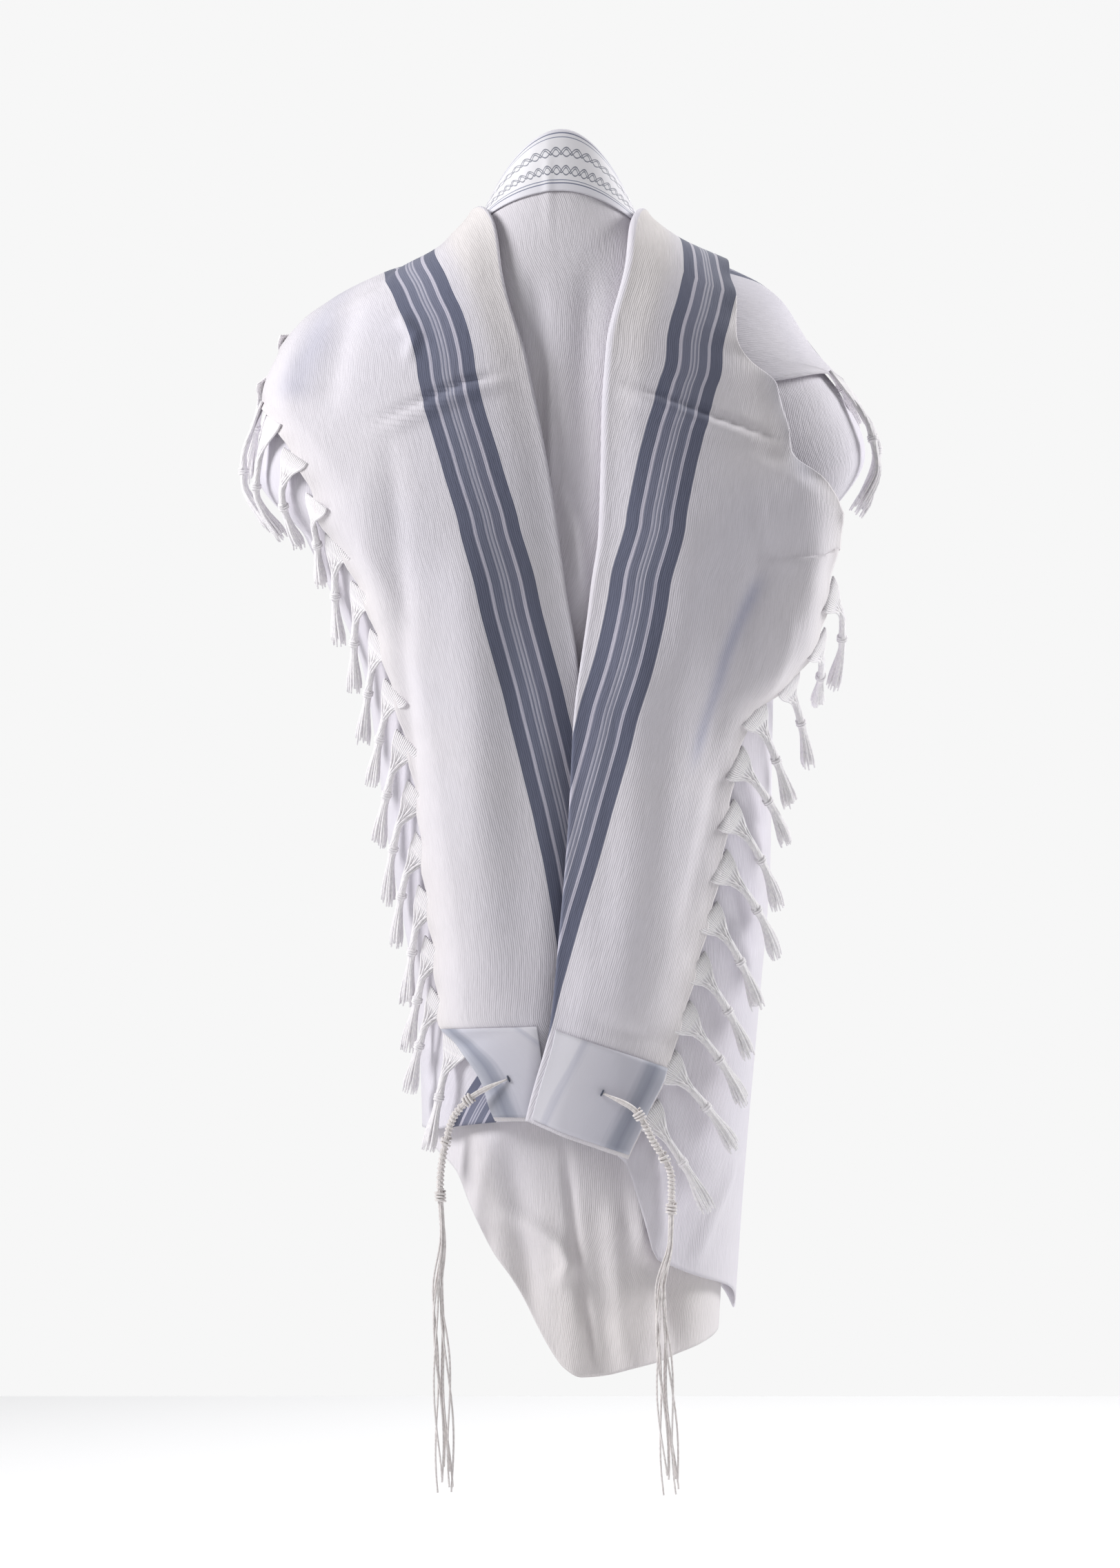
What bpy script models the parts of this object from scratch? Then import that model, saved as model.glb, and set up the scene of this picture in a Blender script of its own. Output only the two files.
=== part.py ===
"""Tallit prayer shawl, worn: a long woven cloth over both shoulders with both ends thrown back.

Metres, +Z up, +X to the right of someone who looks at the back, the back towards -Y.
The origin is the middle of the neck's base, where the wearer holds the shawl.
"""

import math

import bmesh
import bpy
import numpy as np

# Driving dimensions
CLOTH_WALL = 0.002
LAYER_STEP = 0.009  # from one layer of the folded cloth to the next
ARM_STEP = 0.009  # extra lift of the right flap over the tucked stretch
CROSS_LIFT = 0.018  # extra lift of the right flap where it crosses the left one
ELBOW_LIFT = 0.011
HANG_LIFT = 0.026  # how far the right flap hangs off the form below the elbow
SEAM = 0.0008
FOLD_LEAD = 0.003  # flat run before the cloth turns over at the front fold
ROWS = 30  # down each stretch of cloth
ROW_SPREAD = ((0.0, 0.12, 0.62, 0.86, 1.0), (0.0, 0.15, 0.54, 0.90, 1.0))  # share of the rows, share of the length
BACK_COLUMNS = 24
MIDDLE_COLUMNS = 9
TOP_COLUMNS = 6
TURN_STEPS = 3
ARM_ROWS, ARM_COLUMNS = 13, 5
ARM_INNER, ARM_OUTER = 0.36, 0.97  # shares from the inner to the front fold
ARM_END_INNER, ARM_END_OUTER = 0.412, 0.382  # shares of the cloth's length
APPLIED_WALL = 0.0012  # satin band and corner patches
APPLIED_LIFT = 0.0040  # middle of the satin over the middle of the cloth
BAND_ROWS = (0.1, 1.0, 1.9)  # rows of the back panel, counted from its top edge
BAND_COLUMNS = 4  # to each side of the middle
PATCH_START = {"left": 1.4, "right": 0.4}  # columns of the flap, or of the arm stretch, counted from its inner side
PATCH_EDGE = 0.05  # share of a column left bare at the fringed edge
STRIP_WIDTH = 0.010
LOCK_PITCH = 0.055
LOCK_LENGTH = 0.112
LOCK_ROOT = 0.010
LOCK_SWING = 0.55  # how far a lock leans out of the vertical
LOCK_LIFT, LOCK_RISE = 0.021, 0.012
STRIP_GAP = 0.0012
ROOT_CLEAR = 0.002  # from a lock's root to the next corner of the strip
# Fringe lock: share of its length, width, thickness
LOCK_SECTIONS = ((0.30, 0.0045, 0.0045), (0.50, 0.0085, 0.0080), (0.60, 0.0050, 0.0050), (1.00, 0.0105, 0.0060))
HEAD_WIDTH = 0.0078  # wound part of a corner cord
KNOT_WIDTH = 0.0110
STRAND_WIDTH = 0.0022
STRAND_SPREAD = 0.0070

# The form that the shawl hangs on: rings round the neck, then over the shoulders, then round the body.
# reach: distance down the back; left, right: where each side is and how high; middle: depth of the side line;
# back, front: depth and height at the centre; box: how square the ring is
RING_COLUMNS = ("reach", "left_x", "left_z", "right_x", "right_z", "middle_y",
                "back_y", "back_z", "front_y", "front_z", "box")
RING_ROWS = (
    (0.00, 0.095, -0.034, 0.088, -0.034, 0.005, -0.060, 0.086, 0.055, -0.020, 2.0),
    (0.09, 0.126, -0.059, 0.120, -0.060, -0.005, -0.088, 0.000, 0.075, -0.060, 2.1),
    (0.17, 0.180, -0.078, 0.172, -0.075, -0.010, -0.115, -0.078, 0.095, -0.110, 2.2),
    (0.25, 0.238, -0.108, 0.218, -0.103, -0.010, -0.132, -0.155, 0.108, -0.170, 2.3),
    (0.32, 0.274, -0.148, 0.248, -0.157, -0.005, -0.140, -0.225, 0.115, -0.235, 2.4),
    (0.385, 0.288, -0.200, 0.280, -0.205, 0.000, -0.145, -0.290, 0.120, -0.300, 2.4),
    (0.45, 0.303, -0.266, 0.300, -0.252, 0.000, -0.148, -0.350, 0.125, -0.360, 2.4),
    (0.51, 0.256, -0.325, 0.256, -0.325, 0.000, -0.150, -0.410, 0.130, -0.420, 2.4),
    (0.58, 0.222, -0.410, 0.244, -0.420, 0.000, -0.150, -0.480, 0.130, -0.490, 2.4),
    (0.65, 0.198, -0.490, 0.214, -0.510, 0.000, -0.150, -0.550, 0.130, -0.560, 2.4),
    (0.80, 0.174, -0.660, 0.211, -0.680, 0.000, -0.150, -0.700, 0.130, -0.700, 2.4),
    (0.95, 0.143, -0.845, 0.198, -0.845, 0.000, -0.152, -0.850, 0.130, -0.850, 2.4),
    (1.08, 0.138, -0.980, 0.186, -0.980, 0.000, -0.156, -0.980, 0.130, -0.980, 2.4),
    (1.20, 0.140, -1.100, 0.177, -1.100, 0.000, -0.167, -1.100, 0.130, -1.100, 2.4),
    (1.32, 0.142, -1.212, 0.170, -1.212, 0.000, -0.190, -1.212, 0.130, -1.212, 2.4),
)
RING = dict(zip(RING_COLUMNS, np.array(RING_ROWS).T))

# Lines in the cloth that run from its long top edge, in front, over the shoulder and down the back to its hem.
# x, z: where the line is seen from behind; face: back, side (on the outline) or front;
# last, where the cloth is bunched: share of the cloth's length there
BACK_LINES = {
    "centre": ((0.000, 0.086, "back"), (0.000, 0.000, "back"), (0.000, -0.400, "back"),
               (0.010, -0.900, "back"), (0.020, -1.212, "back")),
    "left_neck": ((-0.095, -0.034, "side"), (-0.105, -0.060, "back"), (-0.105, -0.250, "back"),
                  (-0.090, -0.600, "back"), (-0.060, -1.100, "back")),
    "left_shoulder": ((-0.142, -0.140, "front"), (-0.168, -0.073, "side"), (-0.190, -0.130, "back"),
                      (-0.194, -0.300, "back"), (-0.155, -0.600, "back"), (-0.124, -0.995, "back")),
    "left_front": ((-0.190, -0.300, "front", 0.00), (-0.214, -0.215, "front", 0.10),
                   (-0.262, -0.168, "front", 0.22), (-0.280, -0.205, "front", 0.36),
                   (-0.274, -0.275, "front", 0.43), (-0.230, -0.360, "front", 0.50),
                   (-0.200, -0.450, "front", 0.58), (-0.160, -0.580, "front", 0.69),
                   (-0.130, -0.750, "front", 0.83), (-0.110, -0.950, "front", 1.00)),
    "right_neck": ((0.088, -0.034, "side"), (0.100, -0.050, "back"), (0.105, -0.250, "back"),
                   (0.105, -0.600, "back"), (0.092, -1.200, "back")),
    "right_shoulder": ((0.142, -0.140, "front"), (0.166, -0.072, "side"), (0.187, -0.130, "back"),
                       (0.197, -0.300, "back"), (0.180, -0.600, "back"), (0.160, -1.175, "back")),
    "right_front": ((0.190, -0.300, "front", 0.00), (0.205, -0.210, "front", 0.10),
                    (0.258, -0.165, "front", 0.22), (0.284, -0.205, "front", 0.36),
                    (0.280, -0.270, "front", 0.42), (0.243, -0.360, "front", 0.48),
                    (0.222, -0.450, "front", 0.54), (0.175, -0.600, "front", 0.63),
                    (0.150, -0.800, "front", 0.76), (0.130, -1.130, "front", 1.00)),
}
FLAP_LINES = {
    "left_inner": ((-0.115, -0.300, "front"), (-0.112, -0.120, "front"), (-0.098, -0.037, "side"),
                   (-0.062, -0.078, "back"), (-0.040, -0.158, "back"), (-0.018, -0.268, "back"),
                   (0.000, -0.392, "back"), (0.015, -0.508, "back"), (0.012, -0.760, "back"),
                   (-0.006, -0.950, "back")),
    "right_inner": ((0.115, -0.300, "front"), (0.112, -0.120, "front"), (0.090, -0.036, "side"),
                    (0.069, -0.060, "back"), (0.051, -0.158, "back"), (0.047, -0.231, "back"),
                    (0.036, -0.392, "back"), (0.017, -0.508, "back"), (0.009, -0.640, "back"),
                    (-0.009, -0.851, "back"), (-0.031, -0.950, "back")),
}
# Fringed edge of the top layer, seen from behind; in front of the shoulder it is given as shares instead:
# x is then the share of the cloth's length and z the share from the inner to the front fold
EDGE_LINES = {
    "left": ((0.000, 0.900, "cloth"), (0.100, 0.900, "cloth"), (0.220, 0.850, "cloth"),
             (-0.288, -0.202, "side"), (-0.285, -0.250, "back"), (-0.259, -0.311, "back"),
             (-0.222, -0.377, "back"), (-0.186, -0.465, "back"), (-0.160, -0.578, "back"),
             (-0.142, -0.720, "back"), (-0.131, -0.840, "back"), (-0.107, -0.895, "back"),
             (-0.076, -0.962, "back")),
    "right": ((0.000, 0.560, "cloth"), (0.120, 0.420, "cloth"), (0.173, -0.053, "back"),
              (0.182, -0.100, "back"), (0.208, -0.173, "back"), (0.237, -0.253, "back"),
              (0.535, 0.500, "cloth"), (0.600, 0.490, "cloth"), (0.190, -0.552, "back"),
              (0.168, -0.680, "back"), (0.140, -0.793, "back"), (0.113, -0.884, "back"),
              (0.073, -0.972, "back")),
}
# Corner cords: from the eyelet over the edge, down the wound head, then the loose strands
# x, z: as seen from behind; lift: metres off the form; width: of the head, 0 for the strands
CORD_COLUMNS = ("x", "z", "face", "lift", "width")
CORDS = {
    "back_left": ((-0.058, -0.908, "back", 0.0290, 0.004), (-0.077, -0.926, "back", 0.0400, KNOT_WIDTH),
                  (-0.090, -0.953, "back", 0.0430, HEAD_WIDTH), (-0.096, -1.020, "back", 0.0430, HEAD_WIDTH),
                  (-0.098, -1.128, "back", 0.0420, 0.0), (-0.095, -1.201, "back", 0.0420, 0.0),
                  (-0.091, -1.330, "back", 0.0420, 0.0)),
    "back_right": ((0.053, -0.930, "back", 0.0490, 0.004), (0.073, -0.955, "back", 0.0560, KNOT_WIDTH),
                   (0.095, -1.004, "back", 0.0560, HEAD_WIDTH), (0.093, -1.060, "back", 0.0540, HEAD_WIDTH),
                   (0.085, -1.128, "back", 0.0500, 0.0), (0.085, -1.201, "back", 0.0460, 0.0),
                   (0.091, -1.330, "back", 0.0460, 0.0)),
    "front_left": ((-0.160, -0.285, "front", 0.0380, 0.004), (-0.160, -0.325, "front", 0.0400, KNOT_WIDTH),
                   (-0.158, -0.350, "front", 0.0400, HEAD_WIDTH), (-0.155, -0.430, "front", 0.0400, HEAD_WIDTH),
                   (-0.148, -0.520, "front", 0.0400, 0.0), (-0.140, -0.610, "front", 0.0420, 0.0),
                   (-0.130, -0.720, "front", 0.0420, 0.0)),
    "front_right": ((0.160, -0.285, "front", 0.0380, 0.004), (0.165, -0.325, "front", 0.0400, KNOT_WIDTH),
                    (0.168, -0.350, "front", 0.0400, HEAD_WIDTH), (0.168, -0.430, "front", 0.0400, HEAD_WIDTH),
                    (0.162, -0.520, "front", 0.0400, 0.0), (0.155, -0.610, "front", 0.0420, 0.0),
                    (0.150, -0.720, "front", 0.0420, 0.0)),
}
# Soft folds that run down the back panel. across: -1 to 1 from left to right front fold;
# start: share of the way down; width: share of the half width; depth: metres at the hem, outwards if positive
BACK_FOLD_COLUMNS = ("across", "start", "width", "depth")
BACK_FOLDS = (
    (-0.34, 0.84, 0.08, 0.020),
    (-0.20, 0.80, 0.07, -0.012),
    (-0.03, 0.82, 0.06, 0.020),
    (0.12, 0.80, 0.07, -0.014),
    (0.27, 0.86, 0.07, 0.016),
    (0.46, 0.70, 0.08, -0.012),
    (-0.62, 0.55, 0.09, -0.008),
    (0.80, 0.60, 0.08, -0.010),
)

WOOL_WHITE = (0.80, 0.78, 0.83)
SATIN_WHITE = (0.86, 0.85, 0.88)
CORD_WHITE = (0.84, 0.82, 0.84)


def srgb(colour):
    return [((c + 0.055) / 1.055) ** 2.4 for c in colour] + [1.0]


def material(name, colour, roughness):
    made = bpy.data.materials.get(name)
    if made:
        return made
    made = bpy.data.materials.new(name)
    made.use_nodes = True
    shader = made.node_tree.nodes["Principled BSDF"]
    shader.inputs["Base Color"].default_value = srgb(colour)
    shader.inputs["Roughness"].default_value = roughness
    shader.inputs["Metallic"].default_value = 0.0
    return made


def smooth(knots, values, at):
    """Cubic curve through the values that never overshoots them; values may have further columns."""
    knots = np.asarray(knots, float)
    values = np.asarray(values, float)
    at = np.clip(np.asarray(at, float), knots[0], knots[-1])
    step = np.diff(knots)
    secant = np.diff(values) / step
    slope = np.zeros_like(values)
    before, after = secant[:-1], secant[1:]
    same = before * after > 0
    weight_a = 2 * step[1:] + step[:-1]
    weight_b = step[1:] + 2 * step[:-1]
    with np.errstate(divide="ignore", invalid="ignore"):
        mean = (weight_a + weight_b) / (weight_a / before + weight_b / after)
    slope[1:-1] = np.where(same, mean, 0.0)
    slope[0], slope[-1] = secant[0], secant[-1]
    i = np.clip(np.searchsorted(knots, at, side="right") - 1, 0, len(knots) - 2)
    h = step[i]
    t = (at - knots[i]) / h
    return ((2 * t**3 - 3 * t**2 + 1) * values[i] + (t**3 - 2 * t**2 + t) * h * slope[i]
            + (3 * t**2 - 2 * t**3) * values[i + 1] + (t**3 - t**2) * h * slope[i + 1])


def ease(low, high, value):
    t = np.clip((np.asarray(value, float) - low) / (high - low), 0.0, 1.0)
    return t * t * (3 - 2 * t)


def form(turn, reach):
    """Point on the form: turn is the angle from the middle of the back, reach the ring."""
    turn, reach = np.broadcast_arrays(np.asarray(turn, float), np.asarray(reach, float))
    ring = {name: smooth(RING["reach"], RING[name], reach) for name in RING_COLUMNS[1:]}
    below = np.maximum(reach - RING["reach"][-1], 0.0)
    across, along = np.abs(np.sin(turn)), np.cos(turn)
    side_x = np.where(turn < 0, ring["left_x"], ring["right_x"])
    side_z = np.where(turn < 0, ring["left_z"], ring["right_z"])
    end_y = np.where(along > 0, ring["back_y"], ring["front_y"]) - ring["middle_y"]
    end_z = np.where(along > 0, ring["back_z"], ring["front_z"])
    size = (across ** ring["box"] + np.abs(along) ** ring["box"]) ** (-1 / ring["box"])
    x = side_x * np.sin(turn) * size
    y = ring["middle_y"] + end_y * np.abs(along) * size
    z = end_z + (side_z - end_z) * across**2 - below
    return np.stack([x, y, z], -1)


def outward(turn, reach):
    d = 0.004
    reach = np.maximum(np.asarray(reach, float), d)
    down = form(turn, reach + d) - form(turn, reach - d)
    round_ = form(turn + d, reach) - form(turn - d, reach)
    normal = np.cross(down, round_)
    return normal / np.linalg.norm(normal, axis=-1, keepdims=True)


def locate(x, z, face):
    """Turn and reach of the point that is seen at x, z."""
    low, high = 0.0, RING["reach"][-1] + 0.2
    for _ in range(40):
        reach = (low + high) / 2
        side = smooth(RING["reach"], RING["left_x" if x < 0 else "right_x"], reach)
        box = smooth(RING["reach"], RING["box"], reach)
        share = min(abs(x) / side, 1.0)
        if face == "side" or share >= 1.0:
            turn = math.pi / 2
        else:
            turn = math.atan((share**box / (1 - share**box)) ** (1 / box))
        if face == "front":
            turn = math.pi - turn
        turn = math.copysign(turn, x)
        if form(turn, reach)[2] > z:
            low = reach
        else:
            high = reach
    return turn, reach


POLE = 0.12  # keeps lines apart where they pass the neck


def line(stations, at):
    """A line of the cloth at shares of its length, as turn and reach."""
    spots = np.array([locate(*station[:3]) for station in stations])
    flat = np.stack([(spots[:, 1] + POLE) * np.sin(spots[:, 0]), (spots[:, 1] + POLE) * np.cos(spots[:, 0])], -1)
    steps = np.linalg.norm(np.diff(form(spots[:, 0], spots[:, 1]), axis=0), axis=1)
    knots = np.concatenate([[0.0], np.cumsum(steps)])
    fine = np.linspace(0.0, knots[-1], 241)
    a = smooth(knots, flat[:, 0], fine)
    b = smooth(knots, flat[:, 1], fine)
    turn = np.arctan2(a, b)
    reach = np.maximum(np.hypot(a, b) - POLE, 0.0)
    run = np.concatenate([[0.0], np.cumsum(np.linalg.norm(np.diff(form(turn, reach), axis=0), axis=1))])
    share = run / run[-1]
    if len(stations[0]) > 3:
        share = smooth(knots, [station[3] for station in stations], fine)
    return np.interp(at, share, turn), np.interp(at, share, reach)


def row_shares(count, start=0.0, end=1.0):
    """Shares of the cloth's length, closer together round the shoulder and the arm."""
    return start + (end - start) * smooth(*ROW_SPREAD, np.linspace(0.0, 1.0, count + 1))


BACK_ORDER = ("left_front", "left_shoulder", "left_neck", "centre", "right_neck", "right_shoulder", "right_front")


def back_panel(across, down, lift=0.0):
    """Points of the back panel: across is -1 to 1, down the shares of the cloth's length."""
    lines = [line(BACK_LINES[name], down) for name in BACK_ORDER]
    knots = np.linspace(-1.0, 1.0, len(lines))
    turn = np.array([smooth(knots, [l[0][j] for l in lines], across) for j in range(len(down))])
    reach = np.array([smooth(knots, [l[1][j] for l in lines], across) for j in range(len(down))])
    normal = outward(turn, reach)
    push = np.zeros_like(turn)
    for row in BACK_FOLDS:
        fold = dict(zip(BACK_FOLD_COLUMNS, row))
        shape = np.exp(-(((across - fold["across"]) / fold["width"]) ** 2))
        push += fold["depth"] * shape[None, :] * ease(fold["start"], 1.0, down)[:, None]
    return form(turn, reach) + normal * (push + lift)[..., None], normal


def sheet_rows(side, down):
    """Turn and reach of the inner fold and the front fold, side by side, at shares of the cloth's length."""
    return line(FLAP_LINES[side + "_inner"], down), line(BACK_LINES[side + "_front"], down)


def on_rows(side, down, shares, lift, droop=None):
    """Points of a layer: shares run from the inner fold (0) to the front fold (1) along the cloth's rows."""
    (turn_a, reach_a), (turn_b, reach_b) = sheet_rows(side, down)
    turn = turn_a[:, None] + (turn_b - turn_a)[:, None] * shares
    reach = reach_a[:, None] + (reach_b - reach_a)[:, None] * shares
    if droop is not None:
        reach = reach + droop(shares) * ease(0.80, 1.0, down)[:, None]
    normal = outward(turn, reach)
    return form(turn, reach) + normal * lift(turn, reach)[..., None]


def edge_shares(side, down):
    """Share from the inner fold to the front fold at which the top layer's fringed edge lies."""
    tried, across = np.linspace(0.0, 1.0, 401), np.linspace(0.0, 1.1, 221)
    (turn_a, reach_a), (turn_b, reach_b) = sheet_rows(side, tried)
    turn = turn_a[:, None] + (turn_b - turn_a)[:, None] * across
    reach = reach_a[:, None] + (reach_b - reach_a)[:, None] * across
    base, normal = form(turn, reach), outward(turn, reach)
    seen = base + normal * top_lift(side)(turn, reach)[..., None]
    places = []
    for x, z, face in EDGE_LINES[side]:
        if face == "cloth":
            places.append((x, z))
            continue
        if face == "back":
            far = (seen[..., 0] - x) ** 2 + (seen[..., 2] - z) ** 2 + np.maximum(normal[..., 1], 0.0)
        else:
            far = ((base - form(*locate(x, z, face))) ** 2).sum(-1)
        near = np.argmin(far)
        places.append((tried[near // len(across)], across[near % len(across)]))
    places[-1] = (1.0, places[-1][1])
    places.sort()
    kept = [places[0]]
    for place in places[1:]:
        if place[0] > kept[-1][0] + 0.005:
            kept.append(place)
    return smooth([k[0] for k in kept], [k[1] for k in kept], down)


def middle_lift(side):
    def lift(turn, reach):
        elbow = ease(0.26, 0.38, reach) * (1 - ease(0.52, 0.64, reach)) * ease(0.7, 1.2, np.abs(turn))
        lifted = LAYER_STEP + ELBOW_LIFT * elbow
        if side == "right":
            crossing = ease(0.50, 0.62, reach) * (1 - ease(0.25, 0.75, turn))
            lifted = lifted + CROSS_LIFT * crossing
        return lifted
    return lift


def top_lift(side):
    def lift(turn, reach):
        lifted = middle_lift(side)(turn, reach) + LAYER_STEP
        if side == "right":
            lifted = lifted + ARM_STEP * (1 - ease(0.43, 0.60, reach)) * ease(0.02, 0.14, reach)
            below = ease(0.42, 0.50, reach) * (1 - ease(0.56, 0.74, reach))
            lifted = lifted + HANG_LIFT * below * ease(0.5, 1.1, turn)
        return lifted
    return lift


def hem_droop(side):
    """How far the middle layer's hem hangs below a straight line from fold to fold."""
    def droop(shares):
        if side == "left":
            return 0.012 * ease(0.1, 0.5, shares) * (1 - ease(0.7, 1.0, shares))
        return (0.090 * ease(0.19, 0.31, shares) + 0.01 * ease(0.3, 0.55, shares)) * (1 - ease(0.70, 1.0, shares))
    return droop


def arm_lift(turn, reach):
    return middle_lift("right")(turn, reach) + LAYER_STEP


def unit(vectors):
    return vectors / np.maximum(np.linalg.norm(vectors, axis=-1, keepdims=True), 1e-9)


def fold_turn(low, high, ahead):
    """Points of the half round from the lower layer to the upper one at a fold."""
    angles = np.linspace(-math.pi / 2, math.pi / 2, TURN_STEPS + 2)[1:-1]
    middle = (low + high) / 2
    radius = np.linalg.norm(high - low, axis=-1, keepdims=True) / 2
    up = unit(high - low)
    return np.stack([middle + radius * (up * math.sin(a) + ahead * math.cos(a)) for a in angles], 1)


def shoulder_fold(side):
    """Middle layer from the front fold to the inner fold, then the striped top layer to its fringed edge."""
    down = row_shares(ROWS)
    panel, normals = back_panel(np.array([-1.0, -0.96, 0.96, 1.0]), down)
    if side == "right":
        base, before, normal = panel[:, 3], panel[:, 2], normals[:, 3]
    else:
        base, before, normal = panel[:, 0], panel[:, 1], normals[:, 0]
    ahead = edge_out(base, before, normal)
    start = base + ahead * SEAM
    lead = start + ahead * FOLD_LEAD
    middle = on_rows(side, down, np.linspace(1.0, 0.0, MIDDLE_COLUMNS + 1), middle_lift(side), hem_droop(side))
    front_turn = fold_turn(lead, lead + normal * LAYER_STEP, ahead)
    edge = edge_shares(side, down)
    shares = edge[:, None] * np.linspace(0.0, 1.0, TOP_COLUMNS + 1)
    top = on_rows(side, down, shares, top_lift(side))
    inner_turn = fold_turn(middle[:, -1], top[:, 0], unit(middle[:, -1] - middle[:, -2]))
    out = edge_out(top[:, -1], top[:, -2], form_normals(top[:, -1]))
    cut = STRIP_WIDTH * (down > fringe_start(side))
    top[:, -1] -= out * cut[:, None]
    return np.concatenate([start[:, None], lead[:, None], front_turn, middle, inner_turn, top], 1)


def arm_fold():
    """Stretch tucked under the right flap that shows over the upper arm."""
    shares = np.linspace(ARM_INNER, ARM_OUTER, ARM_COLUMNS + 1)
    end = smooth([ARM_INNER, ARM_OUTER], [ARM_END_INNER, ARM_END_OUTER], shares)
    columns = []
    for share, last in zip(shares, end):
        down = row_shares(ROWS)
        down = np.append(down[down < last - 0.01], last)
        down = np.interp(np.linspace(0, 1, ARM_ROWS + 1), np.linspace(0, 1, len(down)), down)
        columns.append(on_rows("right", down, np.array([share]), arm_lift)[:, 0])
    return np.stack(columns, 1)


def fringe_start(name):
    """Share of the cloth's length above which the edge is folded under and has no fringe."""
    return {"left": -1.0, "right": 0.53}[name]


def cloth_object(name, grid, wall, finish, collection, flip=False):
    """Open surface through a grid of points, given its wall by Solidify."""
    rows, columns = grid.shape[:2]
    made = bmesh.new()
    verts = [made.verts.new(tuple(p)) for p in grid.reshape(-1, 3)]
    for j in range(rows - 1):
        for i in range(columns - 1):
            a = j * columns + i
            loop = (verts[a], verts[a + columns], verts[a + columns + 1], verts[a + 1])
            made.faces.new(loop[::-1] if flip else loop)
    mesh = bpy.data.meshes.new(name)
    made.to_mesh(mesh)
    made.free()
    thing = bpy.data.objects.new(name, mesh)
    collection.objects.link(thing)
    mesh.materials.append(finish)
    mesh.shade_smooth()
    shell = thing.modifiers.new("wall", "SOLIDIFY")
    shell.thickness = wall
    shell.offset = 0.0
    return thing


def between_rows(grid, place):
    """The row of a grid at a fractional place."""
    i = min(int(place), len(grid) - 2)
    return grid[i] * (1 - (place - i)) + grid[i + 1] * (place - i)


def lifted(grid):
    """A grid that lies on cloth, moved out from the form by the lift of the satin."""
    flat = grid.reshape(-1, 3)
    return (flat + form_normals(flat) * APPLIED_LIFT).reshape(grid.shape)


def neckband(grid):
    """Satin band on the back panel's own points."""
    middle = grid.shape[1] // 2
    columns = slice(middle - BAND_COLUMNS, middle + BAND_COLUMNS + 1)
    return lifted(np.stack([between_rows(grid, place)[columns] for place in BAND_ROWS]))


def corner_patch(grid, rows, start):
    """Satin patch on a layer's own points, from a column to just inside the last one."""
    last = grid.shape[1] - 1
    columns = np.concatenate([[start], np.arange(math.ceil(start + 0.01), last), [last - PATCH_EDGE]])
    return lifted(np.stack([[between_rows(between_rows(grid, row), column) for column in columns] for row in rows]))


def edge_out(edge, inner, normals):
    """Direction in the cloth, square to its edge, away from the points inside it."""
    steps = unit(np.diff(edge, axis=0))
    along = unit(np.concatenate([steps[:1], steps[:-1] + steps[1:], steps[-1:]]))
    out = unit(np.cross(along, normals))
    return out * np.sign(((edge - inner) * out).sum())


def step_on_form(turn, reach, heading):
    """Turn and reach after a step given in space."""
    d = 0.002
    round_ = (form(turn + d, reach) - form(turn - d, reach)) / (2 * d)
    down = (form(turn, reach + d) - form(turn, reach - d)) / (2 * d)
    system = np.stack([round_, down], -1)
    change = np.linalg.lstsq(system, heading, rcond=None)[0]
    return turn + change[0], reach + change[1]


def place_on_form(point):
    """Turn and reach of the form's nearest point, found from a coarse grid and then refined."""
    turns, reaches = np.meshgrid(np.linspace(-3.0, 3.0, 121), np.linspace(0.0, 1.32, 133), indexing="ij")
    span_turn, span_reach = 0.05, 0.01
    for _ in range(6):
        near = np.argmin(((form(turns, reaches) - point) ** 2).sum(-1))
        turn, reach = turns.flat[near], reaches.flat[near]
        turns, reaches = np.meshgrid(np.linspace(turn - span_turn, turn + span_turn, 9),
                                     np.linspace(max(reach - span_reach, 0.0), reach + span_reach, 9),
                                     indexing="ij")
        span_turn, span_reach = span_turn / 3, span_reach / 3
    return turn, reach


def form_normals(points):
    return np.array([outward(*place_on_form(point)) for point in points])


def lock_path(root, out):
    """Middle line of a fringe lock that leaves the edge and hangs down over the form."""
    turn, reach = place_on_form(root)
    lift = float((root - form(turn, reach)) @ outward(turn, reach))
    points = [root]
    done = 0.0
    for share, _, _ in LOCK_SECTIONS:
        run = (share - done) * LOCK_LENGTH
        heading = unit(out * LOCK_SWING * (1 - 0.5 * share) + np.array([0.0, 0.0, -1.0]))
        turn, reach = step_on_form(turn, reach, heading * run)
        points.append(form(turn, reach) + outward(turn, reach) * (max(lift, LOCK_LIFT) + LOCK_RISE * share ** 0.5))
        done = share
    return np.array(points)


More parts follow.
